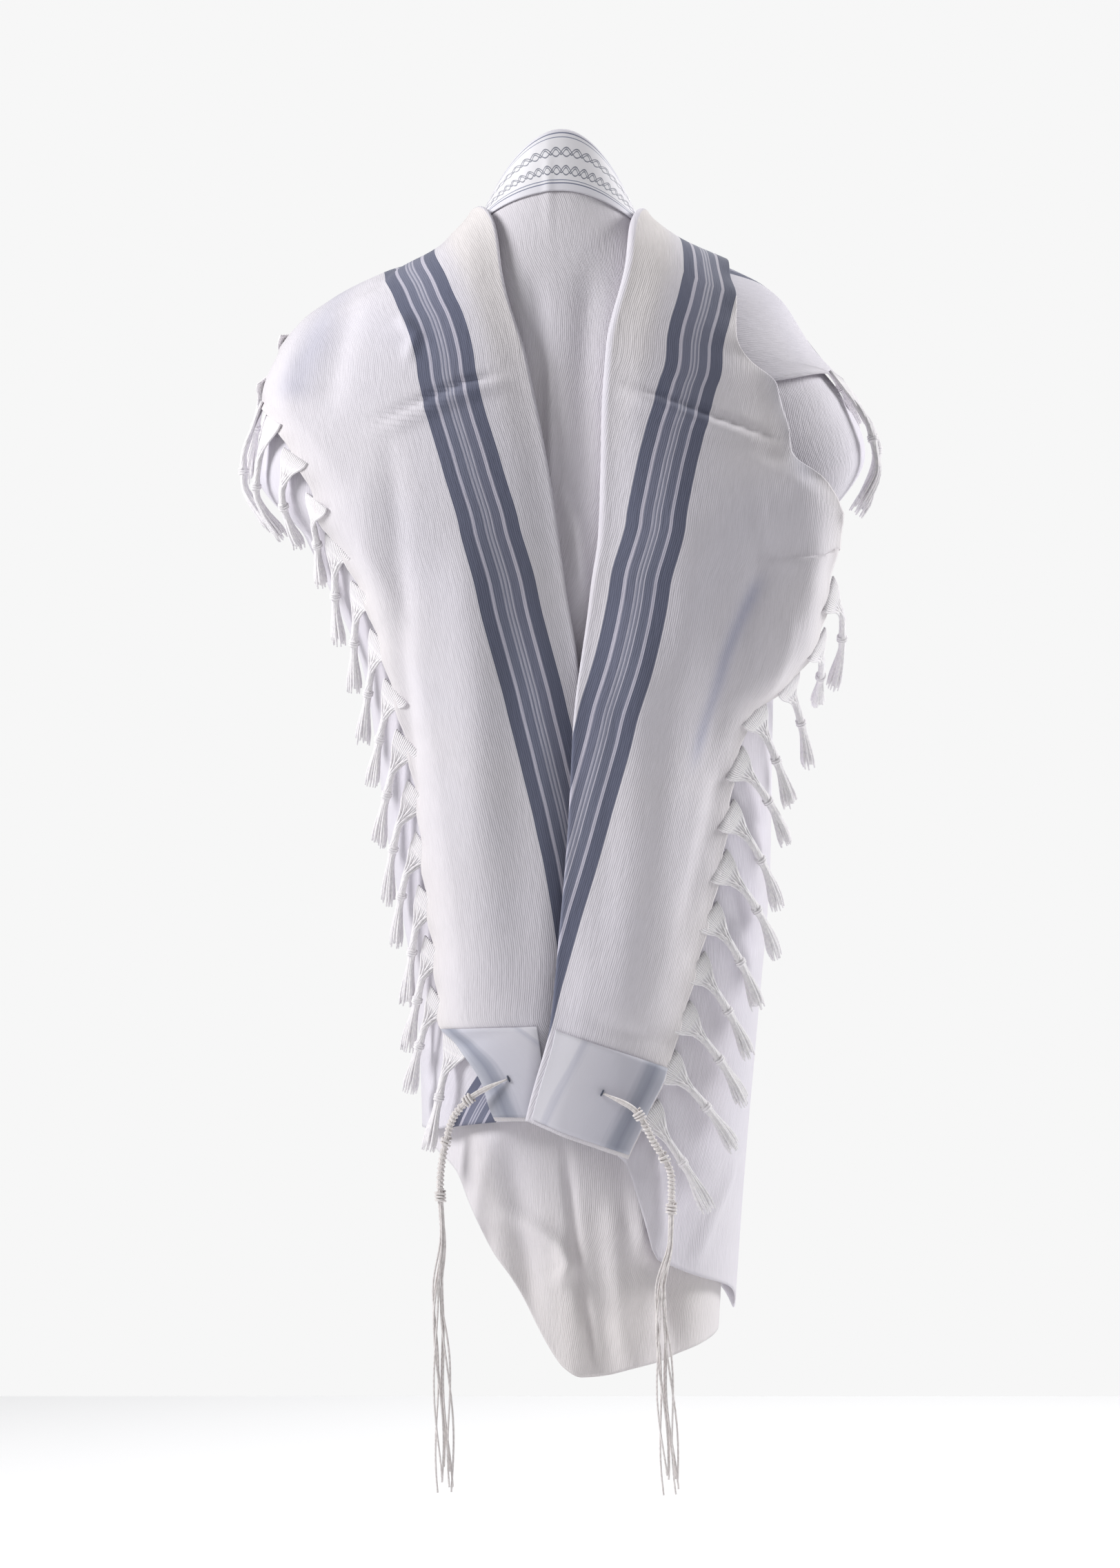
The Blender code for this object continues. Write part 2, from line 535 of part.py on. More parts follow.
def fringe_object(name, edge, out, up, finish, collection):
    """Strip along an edge with locks that grow from its outer side. edge, out, up: one row per point."""
    run = np.concatenate([[0.0], np.cumsum(np.linalg.norm(np.diff(edge, axis=0), axis=1))])
    count = int(run[-1] / LOCK_PITCH)
    first = (run[-1] - (count - 1) * LOCK_PITCH) / 2
    starts = []
    for k in range(count):
        start = first + k * LOCK_PITCH - LOCK_ROOT / 2
        near = [r for r in run[1:-1] if start - ROOT_CLEAR < r < start + LOCK_ROOT + ROOT_CLEAR]
        starts.append(min(near[-1] + ROOT_CLEAR if near else start, run[-1] - LOCK_ROOT - ROOT_CLEAR))
    stops = [value + LOCK_ROOT for value in starts]
    corners = [r for r in run if all(r < a - ROOT_CLEAR / 2 or r > b + ROOT_CLEAR / 2 for a, b in zip(starts, stops))]
    stations = sorted(starts + stops + corners)

    def at(values, place):
        return np.array([np.interp(place, run, values[:, k]) for k in range(3)])

    made = bmesh.new()
    rings = []
    for place in stations:
        inner, along, over = at(edge, place), unit(at(out, place)), unit(at(up, place)) * CLOTH_WALL / 2
        near, far = inner + along * STRIP_GAP, inner + along * STRIP_WIDTH
        rings.append([made.verts.new(p) for p in (near - over, near + over, far + over, far - over)])
    made.faces.new(rings[0][::-1])
    made.faces.new(rings[-1])
    for k, (a, b) in enumerate(zip(rings, rings[1:])):
        for side in range(4):
            if side == 2 and any(abs(stations[k] - value) < 1e-9 for value in starts):
                lock(made, a, b, at(edge, stations[k] + LOCK_ROOT / 2), unit(at(out, stations[k])))
            else:
                made.faces.new((a[side], a[(side + 1) % 4], b[(side + 1) % 4], b[side]))
    bmesh.ops.recalc_face_normals(made, faces=made.faces)
    return finished(name, made, finish, collection)


def lock(made, a, b, edge_point, out):
    """One fringe lock on the outer side of the strip between rings a and b."""
    loop = [a[2], a[3], b[3], b[2]]
    root = sum((np.array(v.co) for v in loop), np.zeros(3)) / 4
    path = lock_path(root, out)
    wide = unit(np.array(b[2].co) - np.array(a[2].co))
    for k, (_, width, thick) in enumerate(LOCK_SECTIONS, 1):
        ahead = unit(path[k] - path[k - 1])
        over = unit(np.array(a[2].co) - np.array(a[3].co))
        over = unit(over - ahead * (over @ ahead))
        wide = unit(np.cross(ahead, over)) * np.sign(np.cross(ahead, over) @ wide)
        ring = [path[k] - wide * width / 2 + over * thick / 2, path[k] - wide * width / 2 - over * thick / 2,
                path[k] + wide * width / 2 - over * thick / 2, path[k] + wide * width / 2 + over * thick / 2]
        ring = [made.verts.new(p) for p in ring]
        for n in range(4):
            made.faces.new((loop[n], loop[(n + 1) % 4], ring[(n + 1) % 4], ring[n]))
        loop = ring
    made.faces.new(loop)


def finished(name, made, finish, collection):
    mesh = bpy.data.meshes.new(name)
    made.to_mesh(mesh)
    made.free()
    thing = bpy.data.objects.new(name, mesh)
    collection.objects.link(thing)
    mesh.materials.append(finish)
    mesh.shade_smooth()
    return thing


def corner_cord(name, rows, finish, collection):
    """Wound head whose end carries eight loose strands."""
    rows = [dict(zip(CORD_COLUMNS, row)) for row in rows]
    path = []
    for row in rows:
        turn, reach = locate(row["x"], row["z"], row["face"])
        path.append(form(turn, reach) + outward(turn, reach) * row["lift"])
    path = np.array(path)
    facing = -1.0 if rows[0]["face"] == "back" else 1.0
    heads = [k for k, row in enumerate(rows) if row["width"] > 0]
    made = bmesh.new()
    square = [(u, v) for v in range(4) for u in range(4)]
    rim = [0, 1, 2, 3, 7, 11, 15, 14, 13, 12, 8, 4]
    previous = None
    for k in heads:
        ahead = unit(path[min(k + 1, len(path) - 1)] - path[max(k - 1, 0)])
        wide = unit(np.cross(ahead, np.array([0.0, facing, 0.0])))
        over = unit(np.cross(wide, ahead))
        scale = rows[k]["width"] / 3
        last = k == heads[-1]
        spots = {n: path[k] + (wide * (square[n][0] - 1.5) + over * (square[n][1] - 1.5)) * scale
                 for n in (range(16) if last else rim)}
        ring = {n: made.verts.new(p) for n, p in spots.items()}
        if previous is None:
            made.faces.new([ring[n] for n in rim])
        else:
            for n, m in zip(rim, rim[1:] + rim[:1]):
                made.faces.new((previous[n], previous[m], ring[m], ring[n]))
        previous = ring
    ends = []
    for v in range(3):
        for u in range(3):
            n = v * 4 + u
            face = made.faces.new([previous[n], previous[n + 1], previous[n + 5], previous[n + 4]])
            if (u, v) != (1, 1):
                ends.append((face, u - 1, v - 1))
    inset = bmesh.ops.inset_individual(made, faces=[e[0] for e in ends],
                                       thickness=(HEAD_WIDTH / 3 - STRAND_WIDTH) / 2)
    for face, u, v in ends:
        centre = np.array(face.calc_center_median())
        for k in range(heads[-1] + 1, len(rows)):
            grown = bmesh.ops.extrude_discrete_faces(made, faces=[face])["faces"][0]
            share = (k - heads[-1]) / (len(rows) - 1 - heads[-1])
            target = path[k] + (wide * u + over * v) * (HEAD_WIDTH / 3 + STRAND_SPREAD * share)
            move = target - np.array(grown.calc_center_median())
            for vert in grown.verts:
                vert.co = np.array(vert.co) + move
            face = grown
    bmesh.ops.recalc_face_normals(made, faces=made.faces)
    return finished(name, made, finish, collection)


def clear_scene():
    for thing in list(bpy.data.objects):
        bpy.data.objects.remove(thing, do_unlink=True)


def main():
    clear_scene()
    shawl = bpy.data.collections.new("tallit_prayer_shawl")
    bpy.context.scene.collection.children.link(shawl)
    wool = material("wool_white", WOOL_WHITE, 0.9)
    satin = material("satin_white", SATIN_WHITE, 0.45)
    cord = material("cord_white", CORD_WHITE, 0.85)
    down = row_shares(ROWS)
    back, _ = back_panel(np.linspace(-1.0, 1.0, BACK_COLUMNS + 1), down)
    cloth_object("back_drape", back, CLOTH_WALL, wool, shawl)
    cloth_object("neckband", neckband(back), APPLIED_WALL, satin, shawl)
    last = len(down) - 1
    hem_rows = (last - 3.8, last - 3.0, last - 2.0, last - 1.0, last - 0.1)
    top_rows = (0.1, 1.0, 1.9)
    for side in ("left", "right"):
        fold = shoulder_fold(side)
        cloth_object(side + "_shoulder_fold", fold, CLOTH_WALL, wool, shawl, side == "left")
        flap = fold[:, -TOP_COLUMNS - 1:]
        up = form_normals(flap[:, -1])
        out = edge_out(flap[:, -1], flap[:, -2], up)
        fringed = down > fringe_start(side)
        fringe_object("fringe_" + side, flap[fringed, -1], out[fringed], up[fringed], cord, shawl)
        cloth_object("corner_patch_back_" + side, corner_patch(flap, hem_rows, PATCH_START[side]),
                     APPLIED_WALL, satin, shawl)
        if side == "left":
            cloth_object("corner_patch_front_left", corner_patch(flap, top_rows, PATCH_START["right"]),
                         APPLIED_WALL, satin, shawl)
    arm = arm_fold()
    cloth_object("right_arm_fold", arm, CLOTH_WALL, wool, shawl)
    cloth_object("corner_patch_front_right", corner_patch(arm, (0.1, 1.0, 2.0, 3.0), PATCH_START["right"]),
                 APPLIED_WALL, satin, shawl)
    border = np.concatenate([arm[:-1, -1], arm[-1, :1:-1]])
    inside = np.concatenate([arm[:-1, -2], arm[-2, :1:-1]])
    up = form_normals(border)
    out = edge_out(border, inside, up)
    fringe_object("fringe_right_arm", border + out * 2 * SEAM, out, up, cord, shawl)
    for name, rows in CORDS.items():
        corner_cord("tassel_" + name, rows, cord, shawl)


main()
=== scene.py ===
# Tallit prayer shawl, worn, seen from behind: wool cloth, satin neckband and corner patches, knotted fringe and cords
import math

import bpy
import numpy as np
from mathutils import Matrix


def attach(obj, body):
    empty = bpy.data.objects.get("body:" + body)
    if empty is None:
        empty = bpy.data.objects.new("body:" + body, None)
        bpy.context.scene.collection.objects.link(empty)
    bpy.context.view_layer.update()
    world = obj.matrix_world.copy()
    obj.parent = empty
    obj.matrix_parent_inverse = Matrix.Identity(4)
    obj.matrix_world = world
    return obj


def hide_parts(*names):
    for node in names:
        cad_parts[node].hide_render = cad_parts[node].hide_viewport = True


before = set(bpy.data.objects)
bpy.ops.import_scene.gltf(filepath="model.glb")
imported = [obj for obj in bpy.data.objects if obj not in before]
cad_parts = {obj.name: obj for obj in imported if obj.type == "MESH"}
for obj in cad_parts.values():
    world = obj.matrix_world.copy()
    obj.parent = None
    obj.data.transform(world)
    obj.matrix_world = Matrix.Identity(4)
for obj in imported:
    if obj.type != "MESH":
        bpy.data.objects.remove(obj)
bpy.ops.object.select_all(action="DESELECT")
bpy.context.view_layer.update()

# ---- camera, light and floor ----
studio = {"viewHeight": 1.659, "viewMiddle": (-0.002, -0.601), "cameraAway": 7.0, "film": 36.0,
          "floorZ": -1.48, "floorSize": (9.0, 5.0), "roomLight": 0.26, "paper": 0.93}
lamps = {"keyLight": {"place": (-2.85, -0.95, 1.5), "target": (0, 0, -0.45), "size": 1.4, "watts": 112.0},
         "rimLight": {"place": (2.9, 0.75, 1.2), "target": (0, 0, -0.45), "size": 1.4, "watts": 96.0},
         "frontLight": {"place": (0.3, 3.2, 0.8), "target": (0, 0, -0.5), "size": 1.6, "watts": 30.0}}

cameraData = bpy.data.cameras.new("camera")
cameraData.sensor_fit = "VERTICAL"
cameraData.sensor_height = studio["film"]
cameraData.lens = studio["film"] * studio["cameraAway"] / studio["viewHeight"]
camera = bpy.data.objects.new("camera", cameraData)
bpy.context.scene.collection.objects.link(camera)
camera.location = (studio["viewMiddle"][0], -studio["cameraAway"], studio["viewMiddle"][1])
camera.rotation_euler = (math.pi / 2, 0.0, 0.0)
bpy.context.scene.camera = camera


def areaLight(name, place, target, size, watts):
    data = bpy.data.lights.new(name, "AREA")
    data.shape, data.size, data.energy = "DISK", size, watts
    lamp = bpy.data.objects.new(name, data)
    bpy.context.scene.collection.objects.link(lamp)
    lamp.location = place
    aim = np.array(target) - np.array(place)
    tilt, heading = math.atan2(math.hypot(aim[0], aim[1]), -aim[2]), math.atan2(aim[1], aim[0])
    lamp.rotation_euler = (tilt, 0.0, heading - math.pi / 2)


for lampName, lampSettings in lamps.items():
    areaLight(lampName, **lampSettings)
room = bpy.context.scene.world or bpy.data.worlds.new("room")
bpy.context.scene.world = room
room.use_nodes = True
roomTree = room.node_tree
paleWall = roomTree.nodes.new("ShaderNodeMapRange")  # the wall that the camera sees is paler than the light it gives
paleWall.inputs["To Min"].default_value = studio["roomLight"]
paleWall.inputs["To Max"].default_value = studio["paper"]
roomTree.links.new(roomTree.nodes.new("ShaderNodeLightPath").outputs["Is Camera Ray"], paleWall.inputs["Value"])
roomTree.links.new(paleWall.outputs["Result"], roomTree.nodes["Background"].inputs["Strength"])
roomTree.nodes["Background"].inputs["Color"].default_value = (1.0, 1.0, 1.0, 1.0)
bpy.context.scene.view_settings.view_transform = "Standard"
print("camera and lights are set")


# ---- materials ----
def fromHex(code):
    values = [int(code[k:k + 2], 16) / 255 for k in (1, 3, 5)]
    return tuple(v / 12.92 if v <= 0.04045 else ((v + 0.055) / 1.055) ** 2.4 for v in values) + (1.0,)


def addNode(tree, kind, settings=None, links=None):
    node = tree.nodes.new(kind)
    for name, value in (settings or {}).items():
        if isinstance(name, int) or name in node.inputs:
            node.inputs[name].default_value = value
        else:
            setattr(node, name, value)
    for socket, source in (links or {}).items():
        tree.links.new(source, node.inputs[socket])
    return node


def newMaterial(name, roughness, sheen):
    made = bpy.data.materials.new(name)
    made.use_nodes = True
    shader = made.node_tree.nodes["Principled BSDF"]
    shader.inputs["Roughness"].default_value = roughness
    shader.inputs["Sheen Weight"].default_value = sheen
    shader.inputs["Sheen Roughness"].default_value = 0.5
    shader.inputs["Specular IOR Level"].default_value = 0.25
    return made, made.node_tree, shader


def setRamp(node, stops, stepped):
    ramp = node.color_ramp
    ramp.interpolation = "CONSTANT" if stepped else "LINEAR"
    while len(ramp.elements) < len(stops):
        ramp.elements.new(0.5)
    for element, (place, colour) in zip(ramp.elements, stops):
        element.position = place
    for element, (place, colour) in zip(ramp.elements, stops):
        element.color = colour


# C3C8DA is painted shade, multiplied in where fold shadows and the grey bands of the layer below darken the cloth
woolLook = {"cool": "#DEDBE7", "cream": "#EAE4E1", "under": "#C3C8DA", "cloud": 5.0, "rib": 0.0021, "ribShare": 0.12,
            "thread": 0.0016, "slub": 0.02, "crepe": 0.0035, "crinkle": 0.016, "bump": 0.55, "relief": 0.0011}
# grey bands from the fringed side inwards: width in mm and colour next to the white cloth
bandThreads = ((13.0, "#777D8F"), (3.6, "#DADBE5"), (8.6, "#888E9F"), (1.8, "#D0D2DC"), (2.1, "#9CA1B0"),
               (1.8, "#D0D2DC"), (2.1, "#9CA1B0"), (1.8, "#D0D2DC"), (8.6, "#8D92A3"), (3.8, "#E2E2EB"),
              (13.2, "#7A8092"))
bandWidth = sum(width for width, _ in bandThreads) / 1000
bandMargin = 0.01  # white cloth on both sides that the bands' ramp takes in


def woolCloth():
    # spun wool in plain weave: dry, slightly crinkled along the warp, with grey warp bands; u and v are metres
    # the threads are drawn about three times as coarse as real ones, so that they show
    made, tree, shader = newMaterial("wovenWool", 0.92, 0.3)
    place = addNode(tree, "ShaderNodeUVMap", {"uv_map": "cut"})
    parts = addNode(tree, "ShaderNodeSeparateXYZ", links={"Vector": place.outputs["UV"]})
    spread = addNode(tree, "ShaderNodeMapRange", {"From Min": -bandMargin, "From Max": bandWidth + bandMargin},
                     {"Value": parts.outputs["X"]})
    bands = addNode(tree, "ShaderNodeValToRGB", links={"Fac": spread.outputs["Result"]})
    whole = (bandWidth + 2 * bandMargin) * 1000
    at, stops = bandMargin * 1000, [(0.0, fromHex("#FFFFFF"))]
    for width, colour in bandThreads:
        stops.append((at / whole, fromHex(colour)))
        at += width
    stops.append((at / whole, fromHex("#FFFFFF")))
    setRamp(bands, stops, True)
    broad = addNode(tree, "ShaderNodeTexNoise", {"Scale": woolLook["cloud"], "Detail": 2.0},
                    {"Vector": place.outputs["UV"]})
    warm = addNode(tree, "ShaderNodeAttribute", {"attribute_name": "warm"})
    warmer = addNode(tree, "ShaderNodeMath", {"operation": "MULTIPLY_ADD", 1: 0.5, 2: 0.0}, {0: broad.outputs["Fac"]})
    tree.links.new(warm.outputs["Fac"], warmer.inputs[2])
    white = addNode(tree, "ShaderNodeMix", {"data_type": "RGBA", "clamp_factor": True})
    for socket, colour in (("A", woolLook["cool"]), ("B", woolLook["cream"])):
        [s for s in white.inputs if s.name == socket and s.type == "RGBA"][0].default_value = fromHex(colour)
    tree.links.new(warmer.outputs["Value"], white.inputs["Factor"])
    stripe = addNode(tree, "ShaderNodeMixRGB", {"blend_type": "MULTIPLY", "Fac": 1.0},
                     {"Color1": [s for s in white.outputs if s.type == "RGBA"][0], "Color2": bands.outputs["Color"]})
    stretched = addNode(tree, "ShaderNodeMapping", {"Scale": (1 / woolLook["thread"], 1 / woolLook["slub"], 1.0)},
                        {"Vector": place.outputs["UV"]})
    thread = addNode(tree, "ShaderNodeTexNoise", {"Scale": 1.0, "Detail": 2.0}, {"Vector": stretched.outputs["Vector"]})
    slub = addNode(tree, "ShaderNodeMapRange", {"From Min": 0.3, "From Max": 0.7, "To Min": 0.955, "To Max": 1.03},
                   {"Value": thread.outputs["Fac"]})
    slubbed = addNode(tree, "ShaderNodeMixRGB", {"blend_type": "MULTIPLY", "Fac": 1.0},
                      {"Color1": stripe.outputs["Color"], "Color2": slub.outputs["Result"]})
    # painted shade: a vertex attribute darkens the colour towards grey blue along fold shadows and show-through streaks
    under = addNode(tree, "ShaderNodeAttribute", {"attribute_name": "under"})
    withPaintedShade = addNode(tree, "ShaderNodeMixRGB", {"blend_type": "MULTIPLY", "Color2": fromHex(woolLook["under"])},
                    {"Fac": under.outputs["Fac"], "Color1": slubbed.outputs["Color"]})
    tree.links.new(withPaintedShade.outputs["Color"], shader.inputs["Base Color"])
    ribs = addNode(tree, "ShaderNodeMath", {"operation": "MULTIPLY", 1: 2 * math.pi / woolLook["rib"]},
                   {0: parts.outputs["X"]})
    ribWave = addNode(tree, "ShaderNodeMath", {"operation": "SINE"}, {0: ribs.outputs["Value"]})
    crinkle = addNode(tree, "ShaderNodeMapping", {"Scale": (1 / woolLook["crepe"], 1 / woolLook["crinkle"], 1.0)},
                      {"Vector": place.outputs["UV"]})
    crepe = addNode(tree, "ShaderNodeTexNoise", {"Scale": 1.0, "Detail": 3.0}, {"Vector": crinkle.outputs["Vector"]})
    height = addNode(tree, "ShaderNodeMath", {"operation": "MULTIPLY_ADD", 1: woolLook["ribShare"]},
                     {0: ribWave.outputs["Value"], 2: crepe.outputs["Fac"]})
    bump = addNode(tree, "ShaderNodeBump", {"Strength": woolLook["bump"], "Distance": woolLook["relief"]},
                   {"Height": height.outputs["Value"]})
    tree.links.new(bump.outputs["Normal"], shader.inputs["Normal"])
    return made


satinLook = {"bandHeight": 0.070, "repeat": 0.021, "rows": (0.0235, 0.0445), "wave": 0.0052, "ripple": 0.0030,
             "line": 0.00085, "ink": "#8A8C98", "patchSpan": 0.12, "drift": 0.010, "streak": 0.005, "streakLength": 0.09,
             "float": 0.0012, "floatLength": 0.006}


def satinCloth(name, pattern):
    # polyester satin: smooth floats that give a soft broad shine; pattern is "band" or "patch"
    made, tree, shader = newMaterial(name, 0.55, 0.2)
    shader.inputs["Specular IOR Level"].default_value = 0.35
    place = addNode(tree, "ShaderNodeUVMap", {"uv_map": "cut"})
    parts = addNode(tree, "ShaderNodeSeparateXYZ", links={"Vector": place.outputs["UV"]})
    ramp = addNode(tree, "ShaderNodeValToRGB")
    if pattern == "band":
        tree.links.new(addNode(tree, "ShaderNodeMapRange", {"From Min": 0.0, "From Max": satinLook["bandHeight"]},
                               {"Value": parts.outputs["Y"]}).outputs["Result"], ramp.inputs["Fac"])
        setRamp(ramp, ((0.0, fromHex("#E9E7EF")), (0.115, fromHex("#7B8096")), (0.135, fromHex("#EFEDF3")),
                       (0.165, fromHex("#8D92A6")), (0.18, fromHex("#F1EFF4")), (0.87, fromHex("#8D92A6")),
                       (0.885, fromHex("#EFEDF3")), (0.935, fromHex("#7B8096")), (0.955, fromHex("#E9E7EF"))), True)
        # two rows of plain grey ornament: a knotwork of small lozenges and bars
        angle = addNode(tree, "ShaderNodeMath", {"operation": "MULTIPLY", 1: 2 * math.pi / satinLook["repeat"]},
                        {0: parts.outputs["X"]})
        swing = addNode(tree, "ShaderNodeMath", {"operation": "SINE"}, {0: angle.outputs["Value"]})
        twice = addNode(tree, "ShaderNodeMath", {"operation": "MULTIPLY", 1: 2.0}, {0: angle.outputs["Value"]})
        quick = addNode(tree, "ShaderNodeMath", {"operation": "COSINE"}, {0: twice.outputs["Value"]})
        marks = []
        for middle in satinLook["rows"]:
            off = addNode(tree, "ShaderNodeMath", {"operation": "SUBTRACT", 1: middle}, {0: parts.outputs["Y"]})
            for amount, wave in ((satinLook["wave"], swing), (-satinLook["wave"], swing), (satinLook["ripple"], quick)):
                curve = addNode(tree, "ShaderNodeMath", {"operation": "MULTIPLY_ADD", 1: amount},
                                {0: wave.outputs["Value"], 2: off.outputs["Value"]})
                size = addNode(tree, "ShaderNodeMath", {"operation": "ABSOLUTE"}, {0: curve.outputs["Value"]})
                marks.append(addNode(tree, "ShaderNodeMath", {"operation": "LESS_THAN", 1: satinLook["line"]},
                                     {0: size.outputs["Value"]}))
        joined = marks[0]
        for mark in marks[1:]:
            joined = addNode(tree, "ShaderNodeMath", {"operation": "MAXIMUM"},
                             {0: joined.outputs["Value"], 1: mark.outputs["Value"]})
        inked = addNode(tree, "ShaderNodeMixRGB", {"Color2": fromHex(satinLook["ink"])},
                        {"Fac": joined.outputs["Value"], "Color1": ramp.outputs["Color"]})
        tree.links.new(inked.outputs["Color"], shader.inputs["Base Color"])
    else:
        long = addNode(tree, "ShaderNodeMapping",
                       {"Scale": (1 / satinLook["streak"], 1 / satinLook["streakLength"], 1.0)},
                       {"Vector": place.outputs["UV"]})
        streaks = addNode(tree, "ShaderNodeTexNoise", {"Scale": 1.0, "Detail": 2.0}, {"Vector": long.outputs["Vector"]})
        moved = addNode(tree, "ShaderNodeMath", {"operation": "MULTIPLY_ADD", 1: satinLook["drift"]},
                        {0: streaks.outputs["Fac"], 2: parts.outputs["X"]})
        tree.links.new(addNode(tree, "ShaderNodeMapRange", {"From Min": 0.0, "From Max": satinLook["patchSpan"]},
                               {"Value": moved.outputs["Value"]}).outputs["Result"], ramp.inputs["Fac"])
        # patch grey: darkest towards the fringed edge, partly the satin's streaked stripe band and partly painted shade
        # where the patch turns from the light; lighter inwards
        setRamp(ramp, ((0.0, fromHex("#CFCFD9")), (0.10, fromHex("#B2B4C1")), (0.17, fromHex("#9699A9")),
                       (0.24, fromHex("#A9ABB9")), (0.31, fromHex("#CDCCD7")), (0.60, fromHex("#D8D6E0")),
                       (0.78, fromHex("#DCDAE3")), (0.83, fromHex("#CDCCD8")), (0.88, fromHex("#E2E0E8"))), False)
        tree.links.new(ramp.outputs["Color"], shader.inputs["Base Color"])
    fine = addNode(tree, "ShaderNodeMapping", {"Scale": (1 / satinLook["float"], 1 / satinLook["floatLength"], 1.0)},
                   {"Vector": place.outputs["UV"]})
    floats = addNode(tree, "ShaderNodeTexNoise", {"Scale": 1.0, "Detail": 2.0}, {"Vector": fine.outputs["Vector"]})
    bump = addNode(tree, "ShaderNodeBump", {"Strength": 0.2, "Distance": 0.0005}, {"Height": floats.outputs["Fac"]})
    tree.links.new(bump.outputs["Normal"], shader.inputs["Normal"])
    return made


yarnLook = {"round": 3.0, "ply": 0.004, "slant": 0.4}


def woolYarn(name, light, dark):
    # soft spun wool yarn with painted shade between the plies, where the darker colour stands for their shade; u runs
    # round the yarn, v along it in metres
    made, tree, shader = newMaterial(name, 0.95, 0.4)
    place = addNode(tree, "ShaderNodeUVMap", {"uv_map": "cut"})
    turn = addNode(tree, "ShaderNodeMapping",
                   {"Scale": (yarnLook["round"], 1 / yarnLook["ply"], 1.0), "Rotation": (0.0, 0.0, yarnLook["slant"])},
                   {"Vector": place.outputs["UV"]})
    plies = addNode(tree, "ShaderNodeTexNoise", {"Scale": 1.0, "Detail": 2.0}, {"Vector": turn.outputs["Vector"]})
    ramp = addNode(tree, "ShaderNodeValToRGB", links={"Fac": plies.outputs["Fac"]})
    # painted shade: the darker colour falls where the plies meet
    setRamp(ramp, ((0.3, fromHex(dark)), (0.6, fromHex(light))), False)
    tree.links.new(ramp.outputs["Color"], shader.inputs["Base Color"])
    bump = addNode(tree, "ShaderNodeBump", {"Strength": 0.4, "Distance": 0.0005}, {"Height": plies.outputs["Fac"]})
    tree.links.new(bump.outputs["Normal"], shader.inputs["Normal"])
    return made


wool = woolCloth()
bandSatin = satinCloth("polyesterSatin", "band")
patchSatin = satinCloth("streakedSatinPaintedShade", "patch")
fringeYarn = woolYarn("softWoolYarn", "#F8F5F7", "#E9E6EB")
cordYarn = woolYarn("spunWoolCord", "#EFEAE9", "#D8D2D1")
# the eyelet ring's dark grey is partly painted shade: it stands for the dark hole that the thread circles
eyeletThreadHoleShade = woolYarn("eyeletThreadHoleShade", "#5A6072", "#30343F")
print("materials are made")

# ---- the form that the shawl hangs on, in the frame's metres ----
# a row for each distance down the cloth from its top edge: half widths and heights at the sides, depth and height at
# the back and in front, and how square the ring is
ringNames = ("reach", "leftX", "leftZ", "rightX", "rightZ", "middleY", "backY", "backZ", "frontY", "frontZ", "box")
ringRows = (
    (0.00, 0.095, -0.034, 0.088, -0.034, 0.005, -0.060, 0.086, 0.055, -0.020, 2.0),
    (0.09, 0.126, -0.059, 0.120, -0.060, -0.005, -0.088, 0.000, 0.075, -0.060, 2.1),
    (0.17, 0.180, -0.078, 0.172, -0.075, -0.010, -0.115, -0.078, 0.095, -0.110, 2.2),
    (0.25, 0.238, -0.108, 0.218, -0.103, -0.010, -0.132, -0.155, 0.108, -0.170, 2.3),
    (0.32, 0.274, -0.148, 0.248, -0.157, -0.005, -0.140, -0.225, 0.115, -0.235, 2.4),
    (0.385, 0.288, -0.200, 0.280, -0.205, 0.000, -0.145, -0.290, 0.120, -0.300, 2.4),
    (0.45, 0.303, -0.266, 0.300, -0.252, 0.000, -0.148, -0.350, 0.125, -0.360, 2.4),
    (0.51, 0.256, -0.325, 0.256, -0.325, 0.000, -0.150, -0.410, 0.130, -0.420, 2.4),
    (0.58, 0.222, -0.410, 0.244, -0.420, 0.000, -0.150, -0.480, 0.130, -0.490, 2.4),
    (0.65, 0.198, -0.490, 0.214, -0.510, 0.000, -0.150, -0.550, 0.130, -0.560, 2.4),
    (0.80, 0.174, -0.660, 0.211, -0.680, 0.000, -0.150, -0.700, 0.130, -0.700, 2.4),
    (0.95, 0.143, -0.845, 0.198, -0.845, 0.000, -0.152, -0.850, 0.130, -0.850, 2.4),
    (1.08, 0.138, -0.980, 0.186, -0.980, 0.000, -0.156, -0.980, 0.130, -0.980, 2.4),
    (1.20, 0.140, -1.100, 0.177, -1.100, 0.000, -0.167, -1.100, 0.130, -1.100, 2.4),
    (1.32, 0.142, -1.212, 0.170, -1.212, 0.000, -0.190, -1.212, 0.130, -1.212, 2.4),
)
ring = dict(zip(ringNames, np.array(ringRows).T))

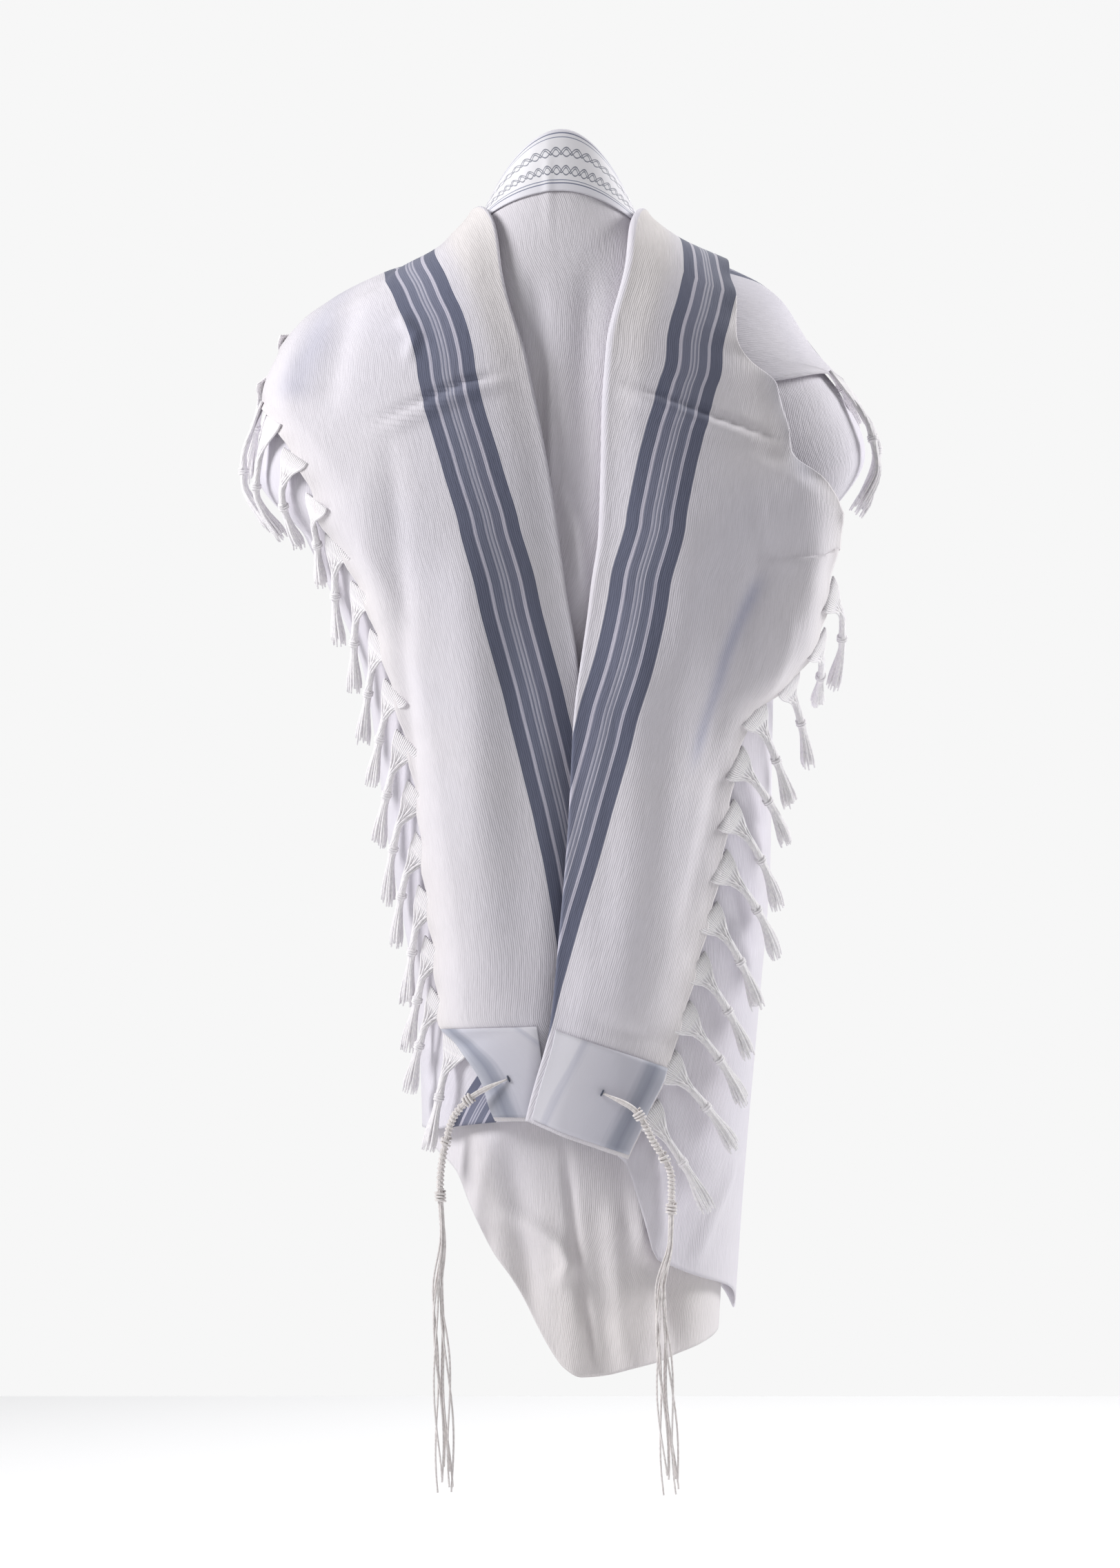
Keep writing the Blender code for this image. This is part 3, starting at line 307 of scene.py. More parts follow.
# lines of the cloth from its top edge, in front, over the shoulder and down the back to its hem
backLines = {
    "centre": ((0.000, 0.086, "back"), (0.000, 0.000, "back"), (0.000, -0.400, "back"),
               (0.010, -0.900, "back"), (0.020, -1.212, "back")),
    "leftNeck": ((-0.095, -0.034, "side"), (-0.105, -0.060, "back"), (-0.105, -0.250, "back"),
                 (-0.090, -0.600, "back"), (-0.060, -1.100, "back")),
    "leftShoulder": ((-0.142, -0.140, "front"), (-0.168, -0.073, "side"), (-0.190, -0.130, "back"),
                     (-0.194, -0.300, "back"), (-0.155, -0.600, "back"), (-0.124, -0.995, "back")),
    "leftFront": ((-0.190, -0.300, "front", 0.00), (-0.214, -0.215, "front", 0.10),
                  (-0.262, -0.168, "front", 0.22), (-0.280, -0.205, "front", 0.36),
                  (-0.274, -0.275, "front", 0.43), (-0.230, -0.360, "front", 0.50),
                  (-0.200, -0.450, "front", 0.58), (-0.160, -0.580, "front", 0.69),
                  (-0.130, -0.750, "front", 0.83), (-0.110, -0.950, "front", 1.00)),
    "rightNeck": ((0.088, -0.034, "side"), (0.100, -0.050, "back"), (0.105, -0.250, "back"),
                  (0.105, -0.600, "back"), (0.092, -1.200, "back")),
    "rightShoulder": ((0.142, -0.140, "front"), (0.166, -0.072, "side"), (0.187, -0.130, "back"),
                      (0.197, -0.300, "back"), (0.180, -0.600, "back"), (0.160, -1.175, "back")),
    "rightFront": ((0.190, -0.300, "front", 0.00), (0.205, -0.210, "front", 0.10),
                   (0.258, -0.165, "front", 0.22), (0.284, -0.205, "front", 0.36),
                   (0.280, -0.270, "front", 0.42), (0.243, -0.360, "front", 0.48),
                   (0.222, -0.450, "front", 0.54), (0.175, -0.600, "front", 0.63),
                   (0.150, -0.800, "front", 0.76), (0.130, -1.130, "front", 1.00)),
}
backOrder = ("leftFront", "leftShoulder", "leftNeck", "centre", "rightNeck", "rightShoulder", "rightFront")
innerFolds = {
    "left": ((-0.115, -0.300, "front"), (-0.112, -0.120, "front"), (-0.098, -0.037, "side"),
             (-0.062, -0.078, "back"), (-0.040, -0.158, "back"), (-0.018, -0.268, "back"),
             (0.000, -0.392, "back"), (0.015, -0.508, "back"), (0.012, -0.760, "back"),
             (-0.006, -0.950, "back")),
    "right": ((0.115, -0.300, "front"), (0.112, -0.120, "front"), (0.090, -0.036, "side"),
              (0.069, -0.060, "back"), (0.051, -0.158, "back"), (0.047, -0.231, "back"),
              (0.036, -0.392, "back"), (0.017, -0.508, "back"), (0.009, -0.640, "back"),
              (-0.009, -0.851, "back"), (-0.031, -0.950, "back")),
}
# fringed edge of the top layer; "cloth" rows give the share of the length and of the way to the front fold
fringedEdges = {
    "left": ((0.000, 0.900, "cloth"), (0.100, 0.900, "cloth"), (0.220, 0.850, "cloth"),
             (-0.288, -0.202, "side"), (-0.285, -0.250, "back"), (-0.259, -0.311, "back"),
             (-0.222, -0.377, "back"), (-0.186, -0.465, "back"), (-0.160, -0.578, "back"),
             (-0.142, -0.720, "back"), (-0.129, -0.840, "back"), (-0.092, -0.895, "back"),
             (-0.069, -0.962, "back")),
    "right": ((0.000, 0.560, "cloth"), (0.120, 0.420, "cloth"), (0.173, -0.053, "back"),
              (0.182, -0.100, "back"), (0.208, -0.173, "back"), (0.237, -0.253, "back"),
              (0.535, 0.500, "cloth"), (0.600, 0.490, "cloth"), (0.190, -0.552, "back"),
              (0.168, -0.680, "back"), (0.140, -0.793, "back"), (0.113, -0.884, "back"),
              (0.073, -0.972, "back")),
}
# fringed side of the grey band, seen from behind
bandEdges = {
    "left": ((-0.192, -0.058), (-0.155, -0.145), (-0.139, -0.220), (-0.113, -0.303), (-0.063, -0.501),
             (-0.014, -0.709), (-0.0015, -0.793)),
    "right": ((0.185, -0.072), (0.162, -0.177), (0.139, -0.269), (0.094, -0.476), (0.036, -0.683),
              (-0.009, -0.842)),
}
cloth = {"wall": 0.0011, "layerStep": 0.009, "seam": 0.0008, "foldLead": 0.003, "length": 1.36, "rows": 230,
         "backColumns": 204, "middleColumns": 66, "topColumns": 84, "turnSteps": 9, "pole": 0.12,
         "bandFromHem": 0.135, "bandSmooth": 9, "spread": ((0.0, 0.12, 0.62, 0.86, 1.0), (0.0, 0.15, 0.54, 0.90, 1.0))}
# how far layers stand off the form, in metres, and where each lift comes and goes, in reach and turn
lifts = {"elbow": 0.011, "elbowComes": (0.26, 0.38), "elbowGoes": (0.52, 0.64), "elbowTurn": (0.7, 1.2),
         "cross": 0.018, "crossComes": (0.50, 0.62), "crossTurn": (0.25, 0.75),
         "arm": 0.009, "armComes": (0.02, 0.14), "armGoes": (0.43, 0.60),
         "hang": 0.026, "hangComes": (0.42, 0.50), "hangGoes": (0.56, 0.74), "hangTurn": (0.5, 1.1)}
# how far a middle layer's hem hangs below the panel's: depth, and the shares of the width between which it comes
hemDrops = {"left": ((0.012, 0.10, 0.50),), "right": ((0.092, 0.20, 0.29), (-0.014, 0.35, 0.60))}
# soft folds down the back panel: across, start, width, depth at the hem
hemFolds = ((-0.34, 0.84, 0.08, 0.004), (-0.20, 0.80, 0.07, -0.003), (-0.03, 0.82, 0.06, 0.005),
            (0.12, 0.80, 0.07, -0.005), (0.27, 0.86, 0.07, 0.005), (0.46, 0.70, 0.08, -0.006),
            (-0.62, 0.55, 0.09, -0.008), (0.80, 0.60, 0.08, -0.010))


def smoothCurve(knots, values, at):
    knots, values = np.asarray(knots, float), np.asarray(values, float)
    at = np.clip(np.asarray(at, float), knots[0], knots[-1])
    step = np.diff(knots)
    secant = np.diff(values) / step
    slope = np.zeros_like(values)
    before, after = secant[:-1], secant[1:]
    weightA, weightB = 2 * step[1:] + step[:-1], step[1:] + 2 * step[:-1]
    with np.errstate(divide="ignore", invalid="ignore"):
        mean = (weightA + weightB) / (weightA / before + weightB / after)
    slope[1:-1] = np.where(before * after > 0, mean, 0.0)
    slope[0], slope[-1] = secant[0], secant[-1]
    i = np.clip(np.searchsorted(knots, at, side="right") - 1, 0, len(knots) - 2)
    h = step[i]
    t = (at - knots[i]) / h
    return ((2 * t**3 - 3 * t**2 + 1) * values[i] + (t**3 - 2 * t**2 + t) * h * slope[i]
            + (3 * t**2 - 2 * t**3) * values[i + 1] + (t**3 - t**2) * h * slope[i + 1])


def ease(low, high, value):
    t = np.clip((np.asarray(value, float) - low) / (high - low), 0.0, 1.0)
    return t * t * (3 - 2 * t)


def unit(vectors):
    return vectors / np.maximum(np.linalg.norm(vectors, axis=-1, keepdims=True), 1e-9)


def form(turn, reach):
    # turn goes round the body from 0 at the middle of the back, reach goes down from the top edge
    turn, reach = np.broadcast_arrays(np.asarray(turn, float), np.asarray(reach, float))
    at = {name: smoothCurve(ring["reach"], ring[name], reach) for name in ringNames[1:]}
    below = np.maximum(reach - ring["reach"][-1], 0.0)
    across, along = np.abs(np.sin(turn)), np.cos(turn)
    sideX = np.where(turn < 0, at["leftX"], at["rightX"])
    sideZ = np.where(turn < 0, at["leftZ"], at["rightZ"])
    endY = np.where(along > 0, at["backY"], at["frontY"]) - at["middleY"]
    endZ = np.where(along > 0, at["backZ"], at["frontZ"])
    size = (across ** at["box"] + np.abs(along) ** at["box"]) ** (-1 / at["box"])
    return np.stack([sideX * np.sin(turn) * size, at["middleY"] + endY * np.abs(along) * size,
                     endZ + (sideZ - endZ) * across**2 - below], -1)


def outward(turn, reach):
    d = 0.004
    reach = np.maximum(np.asarray(reach, float), d)
    return unit(np.cross(form(turn, reach + d) - form(turn, reach - d), form(turn + d, reach) - form(turn - d, reach)))


def locate(x, z, face):
    # turn and reach of the point seen at x, z on one face, found by halving
    low, high = 0.0, ring["reach"][-1] + 0.2
    for _ in range(40):
        reach = (low + high) / 2
        side = smoothCurve(ring["reach"], ring["leftX" if x < 0 else "rightX"], reach)
        box = smoothCurve(ring["reach"], ring["box"], reach)
        share = min(abs(x) / side, 1.0)
        if face == "side" or share >= 1.0:
            turn = math.pi / 2
        else:
            turn = math.atan((share**box / (1 - share**box)) ** (1 / box))
        if face == "front":
            turn = math.pi - turn
        turn = math.copysign(turn, x)
        if form(turn, reach)[2] > z:
            low = reach
        else:
            high = reach
    return turn, reach


def runAlong(points):
    return np.concatenate([[0.0], np.cumsum(np.linalg.norm(np.diff(points, axis=0), axis=1))])


def runAcross(grid):
    steps = np.linalg.norm(np.diff(grid, axis=1), axis=2)
    return np.concatenate([np.zeros((len(grid), 1)), np.cumsum(steps, 1)], 1)


def pointAt(at, run, points):
    return np.stack([np.interp(at, run, points[:, k]) for k in range(3)], -1)


def clothLine(stations, at):
    # turn and reach along a smooth line through the stations, at the given shares of its length
    spots = np.array([locate(*station[:3]) for station in stations])
    flat = np.stack([(spots[:, 1] + cloth["pole"]) * np.sin(spots[:, 0]),
                     (spots[:, 1] + cloth["pole"]) * np.cos(spots[:, 0])], -1)
    knots = runAlong(form(spots[:, 0], spots[:, 1]))
    fine = np.linspace(0.0, knots[-1], 241)
    a, b = smoothCurve(knots, flat[:, 0], fine), smoothCurve(knots, flat[:, 1], fine)
    turn, reach = np.arctan2(a, b), np.maximum(np.hypot(a, b) - cloth["pole"], 0.0)
    run = runAlong(form(turn, reach))
    share = run / run[-1]
    if len(stations[0]) > 3:
        share = smoothCurve(knots, [station[3] for station in stations], fine)
    return np.interp(at, share, turn), np.interp(at, share, reach)


down = smoothCurve(*cloth["spread"], np.linspace(0.0, 1.0, cloth["rows"] + 1))


def backPanel(across, shares):
    lines = [clothLine(backLines[name], shares) for name in backOrder]
    knots = np.linspace(-1.0, 1.0, len(lines))
    turn = np.array([smoothCurve(knots, [l[0][j] for l in lines], across) for j in range(len(shares))])
    reach = np.array([smoothCurve(knots, [l[1][j] for l in lines], across) for j in range(len(shares))])
    push = np.zeros_like(turn)
    for middle, start, width, depth in hemFolds:
        push += depth * np.exp(-(((across - middle) / width) ** 2))[None, :] * ease(start, 1.0, shares)[:, None]
    return form(turn, reach), outward(turn, reach), push


def betweenFolds(side, rows, across):
    # from the inner fold, 0, to the front fold, 1, at the given shares of the length
    (turnA, reachA), (turnB, reachB) = clothLine(innerFolds[side], rows), clothLine(backLines[side + "Front"], rows)
    return turnA[:, None] + (turnB - turnA)[:, None] * across, reachA[:, None] + (reachB - reachA)[:, None] * across


def layer(side, shares, lift, droop=None):
    turn, reach = betweenFolds(side, down, shares)
    if droop is not None:
        reach = reach + droop(shares) * ease(0.80, 1.0, down)[:, None]
    return form(turn, reach), outward(turn, reach), lift(turn, reach)


def sharesOf(side, stations):
    # each station's share of the length and of the way from the inner to the front fold, found on a fine grid
    tried, across = np.linspace(0.0, 1.0, 401), np.linspace(0.0, 1.1, 221)
    turn, reach = betweenFolds(side, tried, across)
    normal = outward(turn, reach)
    seen = form(turn, reach) + normal * topLift(side)(turn, reach)[..., None]
    places = []
    for x, z, face in stations:
        if face == "cloth":
            places.append((x, z))
            continue
        if face == "back":
            far = (seen[..., 0] - x) ** 2 + (seen[..., 2] - z) ** 2 + np.maximum(normal[..., 1], 0.0)
        else:
            far = ((form(turn, reach) - form(*locate(x, z, face))) ** 2).sum(-1)
        near = np.argmin(far)
        places.append((tried[near // len(across)], across[near % len(across)]))
    return places


def rising(places):
    kept = [places[0]]
    for place in sorted(places[1:]):
        if place[0] > kept[-1][0] + 0.005:
            kept.append(place)
    return np.array(kept)


def middleLift(side):
    def lift(turn, reach):
        elbow = ease(*lifts["elbowComes"], reach) * (1 - ease(*lifts["elbowGoes"], reach))
        lifted = cloth["layerStep"] + lifts["elbow"] * elbow * ease(*lifts["elbowTurn"], np.abs(turn))
        if side == "right":
            across = 1 - ease(*lifts["crossTurn"], turn)
            lifted = lifted + lifts["cross"] * ease(*lifts["crossComes"], reach) * across
        return lifted
    return lift


def topLift(side):
    def lift(turn, reach):
        lifted = middleLift(side)(turn, reach) + cloth["layerStep"]
        if side == "right":
            lifted = lifted + lifts["arm"] * (1 - ease(*lifts["armGoes"], reach)) * ease(*lifts["armComes"], reach)
            below = ease(*lifts["hangComes"], reach) * (1 - ease(*lifts["hangGoes"], reach))
            lifted = lifted + lifts["hang"] * below * ease(*lifts["hangTurn"], turn)
        return lifted
    return lift


def hemDroop(side):
    def droop(shares):
        hung = sum(depth * ease(low, high, shares) for depth, low, high in hemDrops[side])
        return hung * (1 - ease(0.70, 1.0, shares))
    return droop


# ---- creases placed one by one: path as seen from behind, width and depth in metres, outwards if positive ----
creases = {
    "leftUnder": (
        {"path": ((-0.140, -0.800), (-0.130, -0.900), (-0.120, -0.960)), "width": 0.012, "depth": -0.003},
    ),
    "rightUnder": (
        {"path": ((0.084, -0.955), (0.090, -1.020), (0.088, -1.090)), "width": 0.011, "depth": 0.009},
        {"path": ((0.175, -0.990), (0.150, -1.050), (0.125, -1.110)), "width": 0.008, "depth": 0.004},
    ),
    "back": (
        {"path": ((-0.014, 0.110), (-0.012, -0.200), (-0.010, -0.452)), "width": 0.0048, "depth": 0.0042},
        {"path": ((-0.030, -0.060), (-0.020, -0.200), (0.010, -0.420)), "width": 0.012, "depth": -0.004},
        {"path": ((0.030, -0.050), (0.022, -0.180), (0.020, -0.360)), "width": 0.014, "depth": -0.004},
        {"path": ((-0.010, -0.277), (0.015, -0.335), (0.023, -0.427)), "width": 0.008, "depth": 0.004},
        {"path": ((-0.075, -1.030), (-0.004, -1.077), (0.007, -1.099), (-0.007, -1.125)), "width": 0.009,
         "depth": 0.009},
        {"path": ((0.001, -0.960), (0.018, -1.106), (0.036, -1.212)), "width": 0.006, "depth": -0.006},
        {"path": ((0.070, -0.940), (0.080, -1.040), (0.084, -1.100)), "width": 0.010, "depth": 0.010},
        {"path": ((0.105, -1.090), (0.178, -1.150)), "width": 0.008, "depth": 0.007},
        {"path": ((-0.060, -0.960), (-0.045, -1.060), (-0.030, -1.180)), "width": 0.016, "depth": -0.008},
        {"path": ((0.120, -1.000), (0.110, -1.100), (0.120, -1.200)), "width": 0.016, "depth": -0.009},
        {"path": ((0.050, -1.020), (0.055, -1.120), (0.066, -1.212)), "width": 0.012, "depth": 0.006},
    ),
    "left": (
        {"path": ((-0.196, -0.234), (-0.142, -0.207), (-0.098, -0.187), (-0.050, -0.176)), "width": 0.0035,
         "depth": -0.0048},
        {"path": ((-0.196, -0.245), (-0.142, -0.218), (-0.098, -0.198), (-0.050, -0.187)), "width": 0.007,
         "depth": 0.0045},
        {"path": ((-0.176, -0.220), (-0.152, -0.402), (-0.141, -0.601), (-0.132, -0.800)), "width": 0.011,
         "depth": -0.0055},
        {"path": ((-0.200, -0.270), (-0.172, -0.420), (-0.152, -0.600)), "width": 0.012, "depth": 0.0040},
        {"path": ((-0.165, -0.120), (-0.147, -0.141), (-0.157, -0.172)), "width": 0.006, "depth": 0.0045},
        {"path": ((-0.205, -0.100), (-0.225, -0.160), (-0.235, -0.230)), "width": 0.016, "depth": -0.0050},
        {"path": ((-0.250, -0.110), (-0.262, -0.170), (-0.262, -0.240)), "width": 0.012, "depth": 0.0045},
        {"path": ((-0.150, -0.060), (-0.185, -0.090), (-0.240, -0.120)), "width": 0.010, "depth": -0.0035},
        {"path": ((-0.100, -0.330), (-0.085, -0.520), (-0.075, -0.720)), "width": 0.022, "depth": 0.0040},
        {"path": ((-0.055, -0.420), (-0.045, -0.620), (-0.040, -0.850)), "width": 0.020, "depth": -0.0035},
        {"path": ((-0.130, -0.855), (-0.090, -0.870), (-0.020, -0.845)), "width": 0.007, "depth": -0.0025},
    ),
    "right": (
        {"path": ((0.055, -0.186), (0.102, -0.203), (0.152, -0.225), (0.185, -0.238), (0.232, -0.254)),
         "width": 0.0035, "depth": -0.0042},
        {"path": ((0.055, -0.197), (0.102, -0.214), (0.152, -0.236), (0.232, -0.265)), "width": 0.007,
         "depth": 0.0040},
        {"path": ((0.196, -0.140), (0.222, -0.260), (0.222, -0.350), (0.200, -0.470)), "width": 0.014,
         "depth": 0.0050},
        {"path": ((0.180, -0.260), (0.190, -0.385), (0.156, -0.500), (0.119, -0.650)), "width": 0.013,
         "depth": -0.0050},
        {"path": ((0.130, -0.300), (0.120, -0.450), (0.095, -0.640), (0.080, -0.800)), "width": 0.020,
         "depth": 0.0040},
        {"path": ((0.060, -0.450), (0.045, -0.620), (0.030, -0.820)), "width": 0.018, "depth": -0.0035},
        {"path": ((0.205, -0.420), (0.180, -0.520)), "width": 0.009, "depth": 0.0045},
        {"path": ((0.160, -0.560), (0.135, -0.660), (0.105, -0.780)), "width": 0.012, "depth": -0.0040},
        {"path": ((0.120, -0.870), (0.070, -0.860), (0.000, -0.835)), "width": 0.007, "depth": -0.0025},
    ),
    "arm": (
        {"path": ((0.200, -0.070), (0.245, -0.130), (0.275, -0.190)), "width": 0.010, "depth": -0.0035},
        {"path": ((0.230, -0.075), (0.265, -0.130), (0.290, -0.175)), "width": 0.009, "depth": 0.0035},
    ),
}


def distanceTo(points, path):
    line = np.array([form(*locate(x, z, "back")) for x, z in path])
    best = np.full(points.shape[:-1], 9.0)
    place = np.zeros(points.shape[:-1])
    for k, (a, b) in enumerate(zip(line, line[1:])):
        along = b - a
        t = np.clip(((points - a) @ along) / (along @ along), 0.0, 1.0)
        far = np.linalg.norm(points - a - t[..., None] * along, axis=-1)
        nearer = far < best
        best = np.where(nearer, far, best)
        place = np.where(nearer, (k + t) / (len(line) - 1), place)
    return best, place


def creased(points, name):
    push = np.zeros(points.shape[:-1])
    for crease in creases[name]:
        far, place = distanceTo(points, crease["path"])
        taper = np.minimum(ease(-0.02, 0.22, place), 1 - ease(0.72, 1.02, place))
        push += crease["depth"] * np.exp(-((far / crease["width"]) ** 2)) * taper
    return push


def shadeAlong(points, paths):
    # painted shade: a soft dark streak along each path, where fold shadows and the grey bands of a layer below darken
    # the cloth
    shade = np.zeros(points.shape[:-1])
    for path, width, amount in paths:
        far, place = distanceTo(points, path)
        ends = ease(0.0, 0.2, place) * (1 - ease(0.8, 1.0, place))
        shade = np.maximum(shade, amount * np.exp(-((far / width) ** 2)) * ends)
    return shade


# ---- cloth pieces ----
def clothPiece(name, grid, cut, material, wall, flip=False, shades=None):
    rows, columns = grid.shape[:2]
    index = np.arange(rows * columns).reshape(rows, columns)
    quads = np.stack([index[:-1, :-1], index[1:, :-1], index[1:, 1:], index[:-1, 1:]], -1).reshape(-1, 4)
    if flip:
        quads = quads[:, ::-1]
    mesh = bpy.data.meshes.new(name)
    mesh.vertices.add(rows * columns)
    mesh.vertices.foreach_set("co", grid.reshape(-1))
    mesh.loops.add(quads.size)
    mesh.loops.foreach_set("vertex_index", quads.reshape(-1))
    mesh.polygons.add(len(quads))
    mesh.polygons.foreach_set("loop_start", np.arange(0, quads.size, 4))
    mesh.update(calc_edges=True)
    mesh.uv_layers.new(name="cut").data.foreach_set("uv", cut.reshape(-1, 2)[quads.reshape(-1)].reshape(-1))
    # vertex shades: a cream tint, and painted shade along fold shadows
    for title in ("warm", "under"):
        values = (shades or {}).get(title, np.zeros((rows, columns)))
        mesh.attributes.new(title, "FLOAT", "POINT").data.foreach_set("value", values.reshape(-1).astype(np.float32))
    mesh.shade_smooth()
    mesh.materials.append(material)
    piece = bpy.data.objects.new(name, mesh)
    bpy.context.scene.collection.objects.link(piece)
    shell = piece.modifiers.new("wall", "SOLIDIFY")
    shell.thickness, shell.offset = wall, 0.0
    return piece


def edgeOut(edge, inner, normals):
    # at right angles to an edge, within the cloth and away from it
    steps = unit(np.diff(edge, axis=0))
    along = unit(np.concatenate([steps[:1], steps[:-1] + steps[1:], steps[-1:]]))
    out = unit(np.cross(along, normals))
    return out * np.sign(((edge - inner) * out).sum())


def foldTurn(low, high, ahead):
    # half a round turn of cloth from one layer to the next
    angles = np.linspace(-math.pi / 2, math.pi / 2, cloth["turnSteps"] + 2)[1:-1]
    middle, up = (low + high) / 2, unit(high - low)
    radius = np.linalg.norm(high - low, axis=-1, keepdims=True) / 2
    return np.stack([middle + radius * (up * math.sin(a) + ahead * math.cos(a)) for a in angles], 1)


acrossBack = np.linspace(-1.0, 1.0, cloth["backColumns"] + 1)
backBase, backNormal, backPush = backPanel(acrossBack, down)
backPush = backPush + creased(backBase, "back") * (backBase[..., 1] < 0)
backGrid = backBase + backNormal * backPush[..., None]
backRun = runAcross(backGrid)
clothUp = ((1 - down) * cloth["length"])[:, None]
backCut = np.stack([-1.0 - backRun, np.repeat(clothUp, backRun.shape[1], 1)], -1)  # far from the bands
backWarm = 0.35 * ease(-0.90, -1.15, backBase[..., 2]) + 0.1  # creamier towards the hem
backPiece = clothPiece("backDrape", backGrid, backCut, wool, cloth["wall"], shades={"warm": backWarm})
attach(backPiece, "root")
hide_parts("back_drape")
print("back panel is draped")

drape = {"left": {"crown": 0.016, "roll": 0.105}, "right": {"crown": 0.009, "roll": 0.075},
         "crownComes": (-0.10, -0.40), "crownGoes": (-0.80, -0.90), "edge": 0.05,
         "pressed": 0.0042, "pressWidth": 0.035, "pull": 0.0022, "pullReach": 0.016}
# painted shade, where fold shadows and the grey bands of the layer below darken the cloth: path as seen from behind,
# width, amount
underPaths = {"left": ((((-0.215, -0.090), (-0.245, -0.150), (-0.262, -0.215)), 0.018, 0.45),),
              "right": ((((0.192, -0.370), (0.156, -0.468), (0.119, -0.600)), 0.007, 0.75),
                        (((0.196, -0.150), (0.226, -0.240), (0.240, -0.300)), 0.014, 0.45)),
              "arm": ((((0.186, -0.085), (0.228, -0.150), (0.250, -0.210)), 0.015, 0.6),)}
pitch = 0.055  # between the fringe's locks, which pull the cloth's edge into small waves
flaps = {}
for side in ("left", "right"):
    base, normal, push = backPanel(np.array([-1.0, -0.96, 0.96, 1.0]), down)
    panel = base + normal * push[..., None]
    pick = (3, 2) if side == "right" else (0, 1)
    ahead = edgeOut(panel[:, pick[0]], panel[:, pick[1]], normal[:, pick[0]])
    start = panel[:, pick[0]] + ahead * cloth["seam"]
    lead = start + ahead * cloth["foldLead"]
    frontTurn = foldTurn(lead, lead + normal[:, pick[0]] * cloth["layerStep"], ahead)
    shares = np.linspace(1.0, 0.0, cloth["middleColumns"] + 1)
    base, normal, lift = layer(side, shares, middleLift(side), hemDroop(side))
    middle = base + normal * (lift + creased(base, side + "Under") * (base[..., 1] < 0))[..., None]
    places = sharesOf(side, fringedEdges[side])
    places[-1] = (1.0, places[-1][1])
    places = rising(sorted(places))
    edge = smoothCurve(places[:, 0], places[:, 1], down)
    shares = edge[:, None] * np.linspace(0.0, 1.0, cloth["topColumns"] + 1)
    base, normal, lift = layer(side, shares, topLift(side))
    seen = base[..., 1] < 0.02
    plainTop = base + normal * lift[..., None]
    fringeRun = runAlong(plainTop[:, -1])
    fromEdge, fromFold = runAcross(plainTop[:, ::-1])[:, ::-1], runAcross(plainTop)
    crown = drape[side]["crown"] * ease(0.0, drape[side]["roll"], fromFold)
    crown = crown * ease(*drape["crownComes"], base[..., 2]) * seen * ease(0.0, drape["edge"], fromEdge)
    crown = crown * (1 - ease(*drape["crownGoes"], base[..., 2]))
    crown = crown - drape["pressed"] * (1 - ease(0.0, drape["pressWidth"], fromFold))
    waves = drape["pull"] * np.cos(2 * math.pi * fringeRun / pitch)[:, None] * np.exp(-fromEdge / drape["pullReach"])
    folds = creased(base, side) * seen * ease(0.0, 0.02, np.abs(shares))
    top = base + normal * (lift + folds + (waves + crown))[..., None]
    innerTurn = foldTurn(middle[:, -1], top[:, 0], unit(middle[:, -1] - middle[:, -2]))
    grid = np.concatenate([start[:, None], lead[:, None], frontTurn, middle, innerTurn, top], 1)
    run = runAcross(grid[:, ::-1])[:, ::-1]
    stations = np.array(bandEdges[side])
    bandRun = runAlong(stations)
    fine = np.linspace(0.0, bandRun[-1], 60)
    fine = zip(smoothCurve(bandRun, stations[:, 0], fine), smoothCurve(bandRun, stations[:, 1], fine))
    bandPlaces = np.array(rising(sorted(sharesOf(side, [(x, z, "back") for x, z in fine]))))
    bandAcross = np.interp(down, bandPlaces[:, 0], bandPlaces[:, 1])
    near = cloth["bandSmooth"]
    bandAcross = np.convolve(np.pad(bandAcross, near // 2, "edge"), np.ones(near) / near, "valid")
    bandStart = np.array([np.interp(bandAcross[k], shares[k], fromEdge[k]) for k in range(len(down))])
    leaving = ease(bandPlaces[-1, 0] - 0.04, 1.0, down)
    bandStart = bandStart * (1 - leaving) + cloth["bandFromHem"] * leaving
    columns = base.shape[1]
    run = run - (run[:, -columns] - fromEdge[:, 0])[:, None]
    run[:, -columns:] = fromEdge  # measured before the creases, so they don't bend the band
    cut = np.stack([run - bandStart[:, None], np.repeat(clothUp, run.shape[1], 1)], -1)
    whole = np.zeros(grid.shape[:2])
    # painted shade along the listed paths, on the top layer only
    whole[:, -columns:] = shadeAlong(base, underPaths[side]) * seen
    warm = np.zeros(grid.shape[:2])
    warm[:, -columns:] = 0.55 * ease(-0.35, 0.0, base[..., 2])  # creamier by the collar and along the fringe
    warm[:, -columns:] *= ease(bandWidth, bandWidth + 0.03, cut[:, -columns:, 0])
    warm[:, -columns:] += 0.4 * np.exp(-fromEdge / 0.05)
    piece = clothPiece(side + "ShoulderFold", grid, cut, wool, cloth["wall"], side == "left",
                       {"warm": warm, "under": whole})
    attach(piece, "root")
    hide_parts(side + "_shoulder_fold")
    flaps[side] = {"top": top, "normal": normal}
print("both ends are folded back over the shoulders")

